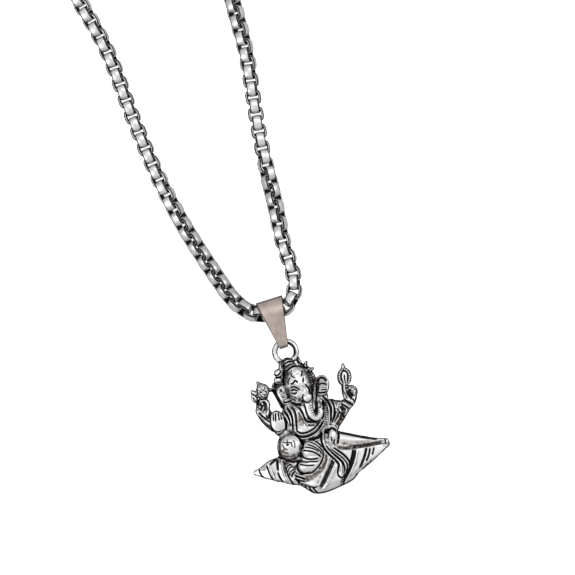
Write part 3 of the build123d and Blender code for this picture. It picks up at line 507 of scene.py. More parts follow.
    ("sash second furrow", 0.7, -2.2, [(328.6, 446.6), (334.6, 451.8), (341.3, 457), (346, 462.6),
                                       (347, 469)]),
    ("sash outer furrow", 0.9, -2.4, [(320.6, 432), (320.4, 439), (323, 447.5), (328, 453.6),
                                      (334.6, 459.6), (338.0, 465), (337.2, 471), (338.0, 475.4),
                                      (341.2, 477.4), (344.6, 475.2)]),
    ("sash right furrow", 0.8, -2.0, [(333.5, 447.6), (340, 451.8), (346, 457), (350, 463)]),
    ("body shade", 3.8, -1.5, [(325.2, 452), (323.6, 461), (318.6, 469.6), (311, 475.8), (303, 479.4)]),
    ("body left shade", 2.6, -0.8, [(331.4, 457.5), (327.5, 466), (323.5, 476)]),
    ("lip top shade", 1.1, -2.0, [(339, 432.4), (350, 434.6), (362, 437.2), (376, 439.4)]),
    # Ornament in the raised right hand
    ("ornament bead bed", 1.4, -2.0, [(344, 370.0), (347.8, 372), (349.3, 376.5), (349.1, 381),
                                      (347.4, 384.4)]),
    ("ornament left bead bed", 1.4, -2.0, [(344, 370.0), (340.3, 372), (338.8, 376.5), (339.5, 381),
                                           (341.4, 384)]),
    ("ornament left groove", 0.7, -1.7, [(341.6, 372.0), (340.8, 375), (341.0, 378.5), (342.6, 383.2)]),
    ("ornament right groove", 0.7, -1.7, [(346.2, 372.0), (347.3, 375), (347.4, 379), (347.2, 383)]),
    ("ornament top groove", 0.6, -1.6, [(341.8, 371.8), (343.9, 371.2), (346.2, 372.2)]),
    ("ornament slit", 0.6, -2.4, [(343.8, 375.0), (344.2, 379), (345.0, 383.4)]),
    ("ornament foot groove", 0.8, -1.8, [(341.0, 385.8), (341.9, 388), (341.8, 392)]),
    # Shell
    ("first spire furrow", 0.8, -2.4, [(258.6, 469.8), (259.6, 473.5), (261.4, 476.6), (265, 479.4)]),
    ("second spire furrow", 0.8, -2.2, [(266.2, 465.6), (267.6, 470), (269.8, 475.5), (272.6, 480.3)]),
    ("third spire furrow", 1.2, -2.2, [(269.6, 465), (273.2, 461.6), (276.6, 460), (277.0, 465),
                                       (277.6, 470.5)]),
    ("third spire lower furrow", 1.0, -2.2, [(277.6, 473), (279.4, 477.5), (282.6, 482.6)]),
    ("fourth spire furrow", 0.9, -2.2, [(283, 461.4), (285.6, 469), (288, 476), (291.4, 482),
                                        (295.4, 486.6)]),
    ("first spire edge", 0.9, 1.2, [(261, 470.5), (264, 468.8), (266, 467.6)]),
    ("second spire edge", 1.0, 1.4, [(269.5, 466.6), (271.2, 472), (274, 478), (276, 481.5)]),
    ("third spire edge", 1.0, 1.6, [(281, 463), (282.6, 470), (285, 477), (288.5, 483)]),
    ("mouth", 2.2, -1.6, [(335, 446.4), (345, 448.0), (356, 446.6), (367, 445.1), (378, 443.0),
                          (384, 441.8)]),
    ("lip shade", 2.8, -0.8, [(340, 443.0), (352, 443.8), (366, 442.6), (378, 441.0)]),
    ("lip tip curl", 0.7, -2.2, [(382.6, 437.2), (384.8, 440), (385.2, 444)]),
    ("body rib furrow", 2.2, -2.0, [(333.4, 459), (329.2, 469), (324.6, 478.5), (320.0, 487.6)]),
    ("body rib left edge", 1.3, 0.9, [(328.0, 459.6), (325.6, 467), (321.8, 476), (317.2, 486)]),
    ("body rib right edge", 1.2, 1.0, [(335.6, 466), (332.0, 473), (328.0, 481.5), (323, 489.6)]),
    ("outer rib furrow", 2.3, -2.8, [(353.8, 448.4), (352.4, 457), (349.4, 466), (345.4, 474.6),
                                     (341.4, 483.6)]),
    ("outer rib edge", 1.2, 1.0, [(357.0, 451), (355.4, 459), (352.0, 468), (347.5, 477.6)]),
    ("tip rib furrow", 1.3, -2.2, [(366.0, 447.8), (364.2, 456), (361.4, 463.4), (359.2, 468)]),
    ("tip thin furrow", 0.9, -2.4, [(369.6, 448.6), (368.4, 455), (366.0, 461)]),
    ("tip last furrow", 0.8, -2.0, [(373.6, 448), (372.0, 455)]),
    ("ridge tooth one", 0.8, -2.6, [(297.6, 480.5), (299, 485.5), (302, 489.6)]),
    ("ridge inner line", 0.8, -1.8, [(294.6, 477), (297.4, 481.4), (302, 484), (308, 486), (315, 487.4)]),
    ("ridge tooth two", 0.8, -2.6, [(301, 483.6), (302.8, 487.6), (306, 490.8)]),
    ("ridge tooth three", 0.8, -2.6, [(304.6, 485.4), (306.6, 489), (309.6, 491.6)]),
    ("ridge tooth four", 0.8, -2.6, [(308.6, 486.8), (310.6, 490), (313.4, 492.2)]),
    ("ridge tooth five", 0.8, -2.6, [(312.6, 487.8), (314.8, 490.4), (317.4, 492.4)]),
    ("shell nick one", 0.7, -1.6, [(313, 487.8), (315.6, 486.6), (317.4, 485.6)]),
    ("shell nick two", 0.8, -1.4, [(318.6, 468.4), (320, 466.6)]),
]

# Rows of beads: half width and height of a bead, how far apart, and places across and down
BEADS = [
    ("necklace beads", 0.95, 0.9, 1.9, [(303, 419), (305.2, 422.3), (309, 423), (315, 422.7)]),
    ("chest beads", 1.2, 2.4, 2.3, [(324.6, 404.5), (325.7, 411), (325.7, 418), (324.6, 426)]),
    ("lap pebbles", 0.9, 1.8, 2.0, [(299.6, 445), (300.6, 450), (298.6, 455.6)]),
    ("head side pebbles", 0.8, 1.8, 2.6, [(304.6, 372), (306.6, 378), (308.6, 383.6)]),
    ("head rim pebbles", 0.8, 1.6, 2.6, [(309, 374), (311, 379), (312, 383.4)]),
    ("crown pebbles", 0.9, 1.6, 2.3, [(285.6, 369.6), (290, 365.4), (296, 364.4)]),
    ("drop", 1.3, 2.2, 3.0, [(306.6, 425), (306.8, 426.6)]),
    ("knuckles", 1.8, 2.6, 3.3, [(348.9, 387.5), (351.7, 389.0), (354.5, 391.2), (353.4, 393.9)]),
    ("ornament beads", 1.35, 2.9, 2.45, [(344.2, 369.6), (347.2, 371.6), (349.2, 375.6), (349.1, 380),
                                         (347.6, 384.0)]),
    ("ornament left beads", 1.35, 2.9, 2.45, [(341.7, 370.5), (339.5, 373.4), (338.9, 377),
                                              (339.5, 380.6), (341.2, 383.4)]),
    ("tassel pebbles", 0.9, 1.8, 2.2, [(342.8, 478), (341.4, 483)]),
    ("shell root pebbles", 0.9, 1.8, 2.2, [(276.4, 459.4), (279.4, 458.6), (279.6, 462)]),
    ("sash pebbles", 0.9, 2.0, 2.4, [(297, 453.6), (299.6, 453.2), (302.4, 451.4)]),
]


def only(*objects):
    """Selects these objects and nothing else."""
    if bpy.context.object and bpy.context.object.mode != "OBJECT":
        bpy.ops.object.mode_set(mode="OBJECT")
    bpy.ops.object.select_all(action="DESELECT")
    for thing in objects:
        thing.select_set(True)
    if objects:
        bpy.context.view_layer.objects.active = objects[0]


def edit_whole(thing):
    """Opens an object for editing, with all of it selected."""
    only(thing)
    bpy.ops.object.mode_set(mode="EDIT")
    bpy.ops.mesh.select_all(action="SELECT")


def joined(things, name):
    only(*things)
    bpy.ops.object.join()
    whole = bpy.context.object
    whole.name = name
    whole.data.name = name
    return whole


def settle_place(thing):
    """Puts an object's place, turn and scale into its mesh."""
    only(thing)
    bpy.ops.object.transform_apply(location=True, rotation=True, scale=True)


def apply_modifiers(thing):
    only(thing)
    for modifier in list(thing.modifiers):
        bpy.ops.object.modifier_apply(modifier=modifier.name)


def corners_of(mesh):
    flat = np.empty(len(mesh.vertices) * 3)
    mesh.vertices.foreach_get("co", flat)
    return flat.reshape(-1, 3)


def put_corners(mesh, places):
    mesh.vertices.foreach_set("co", places.ravel())
    mesh.update()


def normals_of(mesh):
    flat = np.empty(len(mesh.vertices) * 3)
    mesh.vertices.foreach_get("normal", flat)
    return flat.reshape(-1, 3)


def edges_of(mesh):
    flat = np.empty(len(mesh.edges) * 2, dtype=np.int64)
    mesh.edges.foreach_get("vertices", flat)
    return flat.reshape(-1, 2).T


def write_values(mesh, name, values):
    layer = mesh.attributes.new(name, "FLOAT", "POINT")
    layer.data.foreach_set("value", values.astype(np.float32))


def smooth_step(values, low, high):
    share = np.clip((values - low) / (high - low), 0, 1)
    return share * share * (3 - 2 * share)


def smooth_run(points):
    """Places along a smooth line through these points."""
    rows = np.array(points, float)
    padded = np.vstack([2 * rows[0] - rows[1], rows, 2 * rows[-1] - rows[-2]])
    share = np.linspace(0, 1, RUN_STEPS, endpoint=False)[:, None]
    spans = []
    for a, b, c, d in zip(padded, padded[1:], padded[2:], padded[3:]):
        straight = 2 * b + (c - a) * share
        bent = (2 * a - 5 * b + 4 * c - d) * share ** 2 + (3 * b - 3 * c + d - a) * share ** 3
        spans.append((straight + bent) / 2)
    return np.vstack(spans + [rows[-1:]])


def steps_of(line):
    """Lengths of the steps from each place of a line to the next."""
    return np.linalg.norm(np.diff(line, axis=0), axis=1)


def passed_along(line):
    """How far along a line each of its places lies."""
    return np.concatenate([[0], np.cumsum(steps_of(line))])


# Camera, floor and lights

def add_camera():
    distance = PHOTO_SIDE * LENS / SENSOR
    bpy.ops.object.camera_add(location=home + PHOTO_MIDDLE + Vector((0, 0, distance)),
                              rotation=(0, 0, NECKLACE_TURN))
    camera = bpy.context.object
    camera.data.lens = LENS
    camera.data.sensor_width = SENSOR
    camera.data.clip_start = NEAREST_SEEN
    bpy.context.scene.camera = camera


def add_floor():
    bpy.ops.mesh.primitive_plane_add(size=FLOOR_SIZE)
    floor = bpy.context.object
    floor.name = "floor"
    floor.data.materials.append(make_pale_floor())


def make_pale_floor():
    """Lit from within a little, so that shadows stay faint, and dull where metal mirrors it."""
    paint, tree, surface = new_material("pale_floor")
    mirrored = add_node(tree, "ShaderNodeLightPath").outputs["Is Glossy Ray"]
    glow = add_range(tree, mirrored, (0, 1), FLOOR_GLOW, 0.0)
    tree.links.new(add_mix(tree, mirrored, FLOOR_SHADE, FLOOR_MIRRORED), surface.inputs["Base Color"])
    tree.links.new(glow, surface.inputs["Emission Strength"])
    surface.inputs["Emission Color"].default_value = WHITE
    surface.inputs["Roughness"].default_value = FLOOR_ROUGHNESS
    surface.inputs["Specular IOR Level"].default_value = 0.0
    return paint


def add_lights():
    for name, place, sides, power in LAMPS:
        spot = home + Vector(place)
        turn = (home - spot).to_track_quat("-Z", "Y").to_euler()
        bpy.ops.object.light_add(type="AREA", location=spot, rotation=turn)
        lamp = bpy.context.object
        lamp.name = name
        lamp.data.shape = "RECTANGLE"
        lamp.data.size, lamp.data.size_y = sides
        lamp.data.energy = power
    add_sky()
    bpy.context.scene.view_settings.view_transform = "Standard"


def add_sky():
    """Metal mirrors it as brightest overhead, and the camera sees it as plain and pale."""
    world = bpy.data.worlds.new("studio")
    bpy.context.scene.world = world
    world.use_nodes = True
    tree = world.node_tree
    place = add_node(tree, "ShaderNodeTexCoord")
    split = add_node(tree, "ShaderNodeSeparateXYZ", {"Vector": place.outputs["Generated"]})
    ray = add_node(tree, "ShaderNodeLightPath")
    mirrored = add_ramp(tree, split.outputs["Z"], SKY_TONES)
    seen = add_mix(tree, ray.outputs["Is Camera Ray"], mirrored, SKY_SEEN)
    tree.links.new(seen, tree.nodes["Background"].inputs["Color"])


# Chain

def link_spots(node):
    """Middle and axis of each link of a chain's node."""
    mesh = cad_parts[node].data
    places = corners_of(mesh)
    cells = np.round(places / SOLID_WELD).astype(np.int64)
    corners, first, merged = np.unique(cells, axis=0, return_index=True, return_inverse=True)
    start, end = merged.ravel()[edges_of(mesh)]
    labels = np.arange(len(corners))
    while True:
        lowest = np.minimum(labels[start], labels[end])
        spread = labels.copy()
        np.minimum.at(spread, start, lowest)
        np.minimum.at(spread, end, lowest)
        spread = spread[spread]
        if (spread == labels).all():
            break
        labels = spread
    spots = []
    for label in np.unique(labels):
        cloud = places[first[labels == label]]
        middle = cloud.mean(axis=0)
        offsets = cloud - middle
        ways = np.linalg.eigh(offsets.T @ offsets)[1]
        spots.append((Vector(middle), Vector(ways[:, 0])))
    return spots


def link_turns(spots):
    """The turn that stands each link on its place, with its flat sides along the chain."""
    turns = []
    for middle, axis in spots:
        near = sorted((other for other, way in spots), key=lambda other: (other - middle).length)[1:3]
        along = near[1] - near[0]
        along -= along.dot(axis) * axis
        side = axis.cross(along.normalized())
        turns.append(Matrix((along.normalized(), side, axis)).transposed().to_4x4())
    return turns


def link_section():
    """Radius, height and nearness to an edge of the corners of a link's wall, crowned outside."""
    upper = [(LINK_LENGTH / 2 - inwards, LINK_WIDTH / 2 * share, edge)
             for inwards, share, edge in LINK_SECTION]
    lower = [(radius, -height, edge) for radius, height, edge in reversed(upper[1:])]
    return upper + lower


def one_link():
    """A round box link: a short wide rounded square, crowned outside and flat inside."""
    section = link_section()
    only()
    bpy.ops.mesh.primitive_circle_add(vertices=len(section), radius=LINK_WALL)
    link = bpy.context.object
    put_corners(link.data, np.array([(radius, 0, height) for radius, height, edge in section]))
    edit_whole(link)
    bpy.ops.mesh.spin(steps=LINK_SIDES, angle=2 * math.pi, center=(0, 0, 0), axis=(0, 0, 1))
    bpy.ops.mesh.select_all(action="SELECT")
    bpy.ops.mesh.remove_doubles(threshold=LINK_WELD)
    bpy.ops.mesh.normals_make_consistent(inside=False)
    bpy.ops.object.mode_set(mode="OBJECT")
    places = corners_of(link.data)
    corners = np.array(section)
    radii = np.hypot(places[:, 0], places[:, 1])
    apart = np.hypot(radii[:, None] - corners[:, 0], places[:, 2][:, None] - corners[:, 1])
    write_values(link.data, "edge", corners[apart.argmin(axis=1), 2])
    write_values(link.data, "end", off_flat(places) / (math.pi / 4))
    put_corners(link.data, squared(places))
    return link


def off_flat(places):
    """The turn of each place about the height axis, from the middle of the nearest flat side."""
    turn = np.arctan2(places[:, 1], places[:, 0])
    return np.abs((turn + math.pi / 4) % (math.pi / 2) - math.pi / 4)


def squared(places):
    """Turns a ring about the height axis into a rounded square, its flat sides along both axes."""
    stretch = np.minimum(1 / np.cos(off_flat(places)), LINK_SQUARENESS)
    return places * np.stack([stretch * LINK_SHORTNESS, stretch, np.ones(len(places))], axis=1)


def add_chain(node, pattern):
    copies = []
    spots = link_spots(node)
    for (middle, axis), turn in zip(spots, link_turns(spots)):
        link = bpy.data.objects.new("link", pattern.data.copy())
        bpy.context.scene.collection.objects.link(link)
        link.data.transform(Matrix.Translation(middle) @ turn)
        copies.append(link)
    chain = joined(copies, node + "_links")
    only(chain)
    bpy.ops.object.shade_smooth_by_angle(angle=LINK_CREASE)
    chain.data.materials.append(chain_steel)
    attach(chain, "root")
    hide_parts(node)


# Casting

def on_chart(across, down):
    """From the chart to the casting's own right and up."""
    return across - CHART_FOOT[0], CHART_FOOT[1] - down


def run_on_chart(run):
    return [on_chart(*point[:2]) + tuple(point[2:]) for point in run]


def fill_out(thing, height, rise):
    """Makes the upper half of a rounded form fuller, and carries the lower half down to the back."""
    below = normals_of(thing.data)[:, 2] < FACES_BACK
    places = corners_of(thing.data)
    share = np.clip((places[:, 2] - height) / rise, 0, 1)
    places[:, 2] = np.where(below, BACK_DEPTH, height + rise * share ** FULLNESS)
    put_corners(thing.data, places)


def add_ball(place, half_sizes, sides, rings, turn=0.0):
    """A rounded form, full in front and carried down to the back."""
    only()
    bpy.ops.mesh.primitive_uv_sphere_add(segments=sides, ring_count=rings, radius=1, location=place,
                                         rotation=(0, 0, turn), scale=half_sizes)
    ball = bpy.context.object
    settle_place(ball)
    fill_out(ball, place[2], half_sizes[2])
    return ball


def add_mass(name, across, down, height, half_x, half_y, half_z, turn):
    place = on_chart(across, down) + (height,)
    form = add_ball(place, (half_x, half_y, half_z), BALL_SIDES, BALL_RINGS, math.radians(turn))
    form.name = name
    return form


def add_tube(name, run, flatness=1.0):
    """A rounded bar along a smooth run of x, y, height and radius."""
    rows = smooth_run(run)
    line = bpy.data.curves.new(name, "CURVE")
    line.dimensions = "3D"
    line.bevel_depth = 1
    line.bevel_resolution = TUBE_ROUNDNESS
    line.use_fill_caps = True
    spline = line.splines.new("POLY")
    spline.points.add(len(rows) - 1)
    for point, (x, y, z, radius) in zip(spline.points, rows):
        point.co = (x, y, z, 1)
        point.radius = radius
    tube = bpy.data.objects.new(name, line)
    bpy.context.scene.collection.objects.link(tube)
    only(tube)
    bpy.ops.object.convert(target="MESH")
    tube = bpy.context.object
    rounds = np.vstack([rows[-1:], rows[:1], rows])      # the two caps come first
    corners = len(tube.data.vertices) // len(rounds)
    fill_out(tube, np.repeat(rounds[:, 2], corners), np.repeat(rounds[:, 3], corners) * flatness)
    ends = [add_ball((x, y, z), (radius, radius, radius * flatness), END_SIDES, END_RINGS)
            for x, y, z, radius in (rows[0], rows[-1])]
    return joined([tube] + ends, name)


def ring_form():
    """The hanging ring, in the chart's measure."""
    only()
    bpy.ops.mesh.primitive_torus_add(
        major_segments=RING_STEPS, minor_segments=RING_SIDES, major_radius=RING_MIDDLE,
        minor_radius=RING_HALF_WIRE, location=(0, RING_MIDDLE, FOOT_LIFT / PART))
    ring = bpy.context.object
    ring.name = "hanging_ring"
    settle_place(ring)
    return ring


def ornament_form():
    """The oval rim of the plate that carries the ring of beads in the raised right hand."""
    middle_x, middle_y = on_chart(*ORNAMENT)
    wide, high = ORNAMENT_RADII
    rim = [(middle_x + wide * math.cos(turn), middle_y + high * math.sin(turn), ORNAMENT_HEIGHT,
            ORNAMENT_WIRE) for turn in np.linspace(0, 2 * math.pi, ORNAMENT_STEPS)]
    return add_tube("ornament_rim", rim)


def axe_pebbles():
    """Places of the small pebbles on the axe's face, in slanted rows."""
    first_across, first_down = AXE_CORNER
    return [(first_across + AXE_STEP * column + AXE_ROW_SHIFT * row,
             first_down + AXE_STEP * row + AXE_COLUMN_SHIFT * column)
            for row in range(AXE_ROWS) for column in range(AXE_ROWS)]


def line_offsets(places, line):
    """Distance of each place to the line, and the share of the line passed there."""
    best = np.full(len(places), np.inf)
    share = np.zeros(len(places))
    steps, passed = steps_of(line), passed_along(line)
    for number, (start, end) in enumerate(zip(line, line[1:])):
        along = end - start
        part = np.clip((places - start) @ along / (along @ along), 0, 1)
        distance = np.linalg.norm(places - start - part[:, None] * along, axis=1)
        nearer = distance < best
        best[nearer] = distance[nearer]
        share[nearer] = (passed[number] + part[nearer] * steps[number]) / passed[-1]
    return best, share


def draw_stroke(places, lift, half_width, height, run):
    """Adds a raised cord or a furrow along a run to the lift of the places near it."""
    line = smooth_run(run_on_chart(run))[:, :2]
    low, high = line.min(axis=0) - half_width, line.max(axis=0) + half_width
    near = np.flatnonzero(((places[:, :2] > low) & (places[:, :2] < high)).all(axis=1))
    if not len(near):
        return
    distance, share = line_offsets(places[near, :2], line)
    profile = np.clip(1 - (distance / half_width) ** 2, 0, 1) ** STROKE_ROUNDNESS
    taper = np.clip(np.minimum(share, 1 - share) * STROKE_RISE + STROKE_END, 0, 1)
    lift[near] += height * profile * taper


def draw_dome(places, lift, across, down, half_width, height):
    """Adds a round bead to the lift of the places under it."""
    middle = np.array(on_chart(across, down))
    distance = np.linalg.norm(places[:, :2] - middle, axis=1) / half_width
    near = distance < 1
    lift[near] += height * np.sqrt(1 - distance[near] ** 2)


def evenly(run, step):
    """Places at even steps along a smooth run on the chart."""
    line = smooth_run(run)
    passed = passed_along(line)
    wanted = np.arange(0, passed[-1] + step / 4, step)
    return [(float(np.interp(w, passed, line[:, 0])), float(np.interp(w, passed, line[:, 1])))
            for w in wanted]


def trunk_ribs():
    """Short furrows across the outside of the trunk."""
    line = smooth_run(dict(LIMBS)["trunk"])
    ribs = []
    for place, ahead in zip(line[2::RIB_STEP], line[3::RIB_STEP]):
        way = ahead[:2] - place[:2]
        side = np.array([-way[1], way[0]]) / np.linalg.norm(way)
        ribs.append([tuple(place[:2] - side * place[3] * share) for share in RIB_REACH])
    return ribs


def drawn_relief(places):
    """How far the drawn cords stand up, or the furrows lie deep, at these places."""
    lift = np.zeros(len(places))
    for name, half_width, height, run in STROKES:
        draw_stroke(places, lift, half_width, height, run)
    for run in trunk_ribs():
        draw_stroke(places, lift, RIB_HALF_WIDTH, -RIB_DEPTH, run)
    for name, half_width, height, step, run in BEADS:
        for across, down in evenly(run, step):
            draw_dome(places, lift, across, down, half_width, height)
    for across, down in axe_pebbles():
        draw_dome(places, lift, across, down, AXE_PEBBLE_HALF_WIDTH, AXE_PEBBLE_HEIGHT)
    lift[above_foot(places)] = 0
    return lift


def front_relief(places, normals):
    """The drawn relief, which fades out where the surface turns to the side."""
    return drawn_relief(places) * smooth_step(normals[:, 2], FRONT_STARTS, FRONT_FULL)


def carve(casting):
    """Works all the fine relief into the casting's front."""
    mesh = casting.data
    places = corners_of(mesh)
    places[:, 2] += front_relief(places, normals_of(mesh))
    put_corners(mesh, places)


def relax(places, start, end, rounds, strength=0.5):
    """Moves each place towards the mean of its neighbours, some rounds over."""
    count = np.bincount(start, minlength=len(places)) + np.bincount(end, minlength=len(places))
    for turn in range(rounds):
        total = np.empty_like(places)
        for axis, column in enumerate(places.T):
            total[:, axis] = np.bincount(start, column[end], len(places))
            total[:, axis] += np.bincount(end, column[start], len(places))
        places = places + strength * (total / np.maximum(count, 1)[:, None] - places)
    return places


def mark_recesses_and_shade(thing):
    """Marks how deep each place lies below the surface round it, from 0 to 1, with 0.5 as even, and adds
    painted shade along the outline and on the hanging ring.
    """
    mesh = thing.data
    places, normals = corners_of(mesh), normals_of(mesh)
    start, end = edges_of(mesh)
    deep = np.zeros(len(places))
    smoothed = places
    done = 0
    for wanted, weight in RECESS_ROUNDS:
        smoothed = relax(smoothed, start, end, wanted - done)
        done = wanted
        deep += weight * ((smoothed - places) * normals).sum(axis=1)
    # Drawn furrows add to the mark and drawn cords take from it, which also paints the shade and light
    # strokes into the colour
    deep = deep / RECESS_FULL - front_relief(places, normals) / DRAWN_FULL
    # Painted shade along the outline and on the hanging ring
    deep += OUTLINE_SHADE * outline_and_ring_shade(places)
    write_values(mesh, "recess_and_shade", np.clip(0.5 + deep, 0, 1))


def outline_and_ring_shade(places):
    """Painted shade, from 1 at the casting's outline, where it meets its back, to 0 a little way in, and the
    painted shade of the hanging ring.
    """
    foot = np.flatnonzero(np.abs(places[:, 2]) < FOOT_HEIGHT)
    tree = kdtree.KDTree(len(foot))
    for number in foot:
        tree.insert((places[number, 0], places[number, 1], 0), int(number))
    tree.balance()
    shift_x, shift_y = OUTLINE_SHIFT
    apart = np.array([tree.find((x + shift_x, y + shift_y, 0))[2] for x, y in places[:, :2]])
    outline = smooth_step(apart, OUTLINE_REACH, OUTLINE_FULL)
    return np.where(above_foot(places), ring_shade(places), outline)


def ring_shade(places):
    """Painted shade on the hanging ring: from 0 along the middle of its wire to 1 at its sides, wider on two
    of them.
    """
    offsets = places[:, :2] - (0, RING_MIDDLE)
    reach = np.linalg.norm(offsets, axis=1)
    towards = offsets @ RING_SHADE_WAY / np.maximum(reach, 1)
    inside = smooth_step(towards, *RING_INSIDE_TURN) * (reach < RING_MIDDLE)
    outside = smooth_step(-towards, *RING_OUTSIDE_TURN) * (reach > RING_MIDDLE)
    off_wire = np.abs(reach - RING_MIDDLE) / RING_HALF_WIRE
    off_wire += RING_INSIDE_SHADE * inside + RING_OUTSIDE_SHADE * outside
    return smooth_step(off_wire, *RING_SHADE_SPAN)


def above_foot(places):
    """Whether each place lies on the hanging ring, clear of the crown."""
    return places[:, 1] > CROWN_MARGIN


def add_casting():
    forms = [add_mass(*row) for row in MASSES]
    for name, run in LIMBS:
        flatness = SHELL_FLATNESS if name == "shell" else 1.0
        forms.append(add_tube(name, run_on_chart(run), flatness))
    forms.append(ornament_form())
    forms.append(ring_form())
    casting = joined(forms, "pendant_casting")
    melt = casting.modifiers.new("melt", "REMESH")
    melt.mode = "VOXEL"
    melt.voxel_size = VOXEL
    apply_modifiers(casting)
    mesh = casting.data
    start, end = edges_of(mesh)
    put_corners(mesh, relax(corners_of(mesh), start, end, MELT_ROUNDS))
    carve(casting)
    put_corners(mesh, relax(corners_of(mesh), start, end, 1, CARVE_SOFTENING))
    edit_whole(casting)
    bpy.ops.mesh.bisect(plane_co=(0, 0, 0), plane_no=(0, 0, 1), use_fill=True, clear_inner=True)
    bpy.ops.object.mode_set(mode="OBJECT")
    triangles = len(casting.data.polygons) * 2
    thin = casting.modifiers.new("thin", "DECIMATE")
    thin.ratio = min(CASTING_TRIANGLES / triangles, 1)
    apply_modifiers(casting)
    mark_recesses_and_shade(casting)
    turned = Matrix.Rotation(NECKLACE_TURN, 4, "Z") @ Matrix.Scale(PART, 4)
    casting.data.transform(Matrix.Translation(home + FOOT_PLACE) @ turned)
    only(casting)
    bpy.ops.object.shade_smooth()
    casting.data.materials.append(antiqued_silver)
    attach(casting, "root")
    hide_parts("pendant")


# Bail

def drop_line():
    """The middle of the folded strip, round the chain and the ring, as places along y and z."""
    top, foot = chain_lift - BAIL_STRIP / 2, FOOT_LIFT - BAIL_STRIP / 2
    fall = math.atan2(FOOT_LIFT - chain_lift, -BAIL_REACH)
    gap = math.acos((top - foot) / math.hypot(BAIL_REACH, chain_lift - FOOT_LIFT))
    over = [(top * math.cos(turn), chain_lift + top * math.sin(turn))
            for turn in np.linspace(fall + gap, fall + 2 * math.pi - gap, BAIL_TOP_STEPS)]
    under = [(-BAIL_REACH + foot * math.cos(turn), FOOT_LIFT + foot * math.sin(turn))
             for turn in np.linspace(fall - gap, fall + gap, BAIL_FOOT_STEPS)]
    return over + between(over[-1], under[0]) + under + between(under[-1], over[0])


def between(start, end):
    """Places on the straight way from one place to another, without its ends."""
    shares = [number / (BAIL_SIDE_STEPS + 1) for number in range(1, BAIL_SIDE_STEPS + 1)]
    return [tuple(a + (b - a) * share for a, b in zip(start, end)) for share in shares]


def strip_widths(places):
    """How wide the strip is at each place, from its narrow foot to its wide top."""
    foot = -BAIL_REACH - FOOT_LIFT
    share = np.clip((places[:, 1] - foot) / (chain_lift - foot), 0, 1)
    return BAIL_FOOT_WIDTH + (BAIL_TOP_WIDTH - BAIL_FOOT_WIDTH) * share


def add_bail():
    """The folded strip, made one unit wide and then brought to its widths."""
    line = drop_line()
    only()
    bpy.ops.mesh.primitive_circle_add(vertices=len(line), radius=1)
    strip = bpy.context.object
    strip.name = "bail_strip"
    put_corners(strip.data, np.array([(-0.5, y, z) for y, z in line]))
    edit_whole(strip)
    bpy.ops.mesh.extrude_region_move(TRANSFORM_OT_translate={"value": (1, 0, 0)})
    bpy.ops.object.mode_set(mode="OBJECT")
    places = corners_of(strip.data)
    places[:, 0] *= strip_widths(places)
    put_corners(strip.data, places)
    wall = strip.modifiers.new("wall", "SOLIDIFY")
    wall.thickness = BAIL_STRIP
    wall.offset = 0
    rounding = strip.modifiers.new("rounding", "BEVEL")
    rounding.width = BAIL_ROUNDING
    rounding.segments = BAIL_ROUNDING_STEPS
    rounding.angle_limit = BAIL_ROUNDED
    apply_modifiers(strip)
    places = corners_of(strip.data)
    write_values(strip.data, "across", places[:, 0] / (strip_widths(places) / 2))
    strip.data.transform(Matrix.Translation(home))
    edit_whole(strip)
    bpy.ops.mesh.normals_make_consistent(inside=False)
    bpy.ops.object.mode_set(mode="OBJECT")
    bpy.ops.object.shade_smooth_by_angle(angle=BAIL_CREASE)
    strip.data.materials.append(brushed_steel)
    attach(strip, "root")
    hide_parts("bail")


# Materials

def new_material(name):
    paint = bpy.data.materials.new(name)
    paint.use_nodes = True
    return paint, paint.node_tree, paint.node_tree.nodes["Principled BSDF"]


def add_node(tree, kind, values=None, **settings):
    """A new node with its settings, and with values or links put on its inputs by name."""
    made = tree.nodes.new(kind)
    for name, value in settings.items():
        setattr(made, name, value)
    for name, value in (values or {}).items():
        if isinstance(value, bpy.types.NodeSocket):
            tree.links.new(value, made.inputs[name])
        else:
            made.inputs[name].default_value = value
    return made


def add_noise(tree, vector, scale, detail, roughness=0.5):
    """Cloudy noise, with its scale in clouds to the metre."""
    return add_node(tree, "ShaderNodeTexNoise", {"Vector": vector, "Scale": scale, "Detail": detail,
                                                 "Roughness": roughness}).outputs["Fac"]


def add_range(tree, value, span, low=0.0, high=1.0, **settings):
    """Runs from low to high as the value passes over the span."""
    return add_node(tree, "ShaderNodeMapRange", {"Value": value, "From Min": span[0], "From Max": span[1],
                                                 "To Min": low, "To Max": high}, **settings).outputs["Result"]


def add_maths(tree, operation, *values):
    return add_node(tree, "ShaderNodeMath", dict(enumerate(values)), operation=operation).outputs[0]


def add_mix(tree, share, first, second, kind="RGBA"):
    """Goes from the first colour or value to the second by a share."""
    return add_node(tree, "ShaderNodeMix", {"Factor": share, "A": first, "B": second},
                    data_type=kind).outputs["Result"]


def add_ramp(tree, value, stops):
    """Colours by a value, from stops of a place and a colour."""
    ramp = add_node(tree, "ShaderNodeValToRGB", {"Fac": value})
    elements = ramp.color_ramp.elements
    while len(elements) < len(stops):
        elements.new(1.0)
    for element, (place, colour) in zip(elements, stops):
        element.position = place
        element.color = colour
    return ramp.outputs["Color"]


def add_bump(tree, height, strength):
    return add_node(tree, "ShaderNodeBump", {"Height": height, "Strength": strength,
                                             "Distance": BUMP_HEIGHT}).outputs["Normal"]


def stored(tree, name):
    """The value that a mesh holds under this name."""
    return add_node(tree, "ShaderNodeAttribute", attribute_name=name).outputs["Fac"]


def upward(tree):
    """How far the surface faces up."""
    shape = add_node(tree, "ShaderNodeNewGeometry")
    return add_node(tree, "ShaderNodeSeparateXYZ", {"Vector": shape.outputs["True Normal"]}).outputs["Z"]


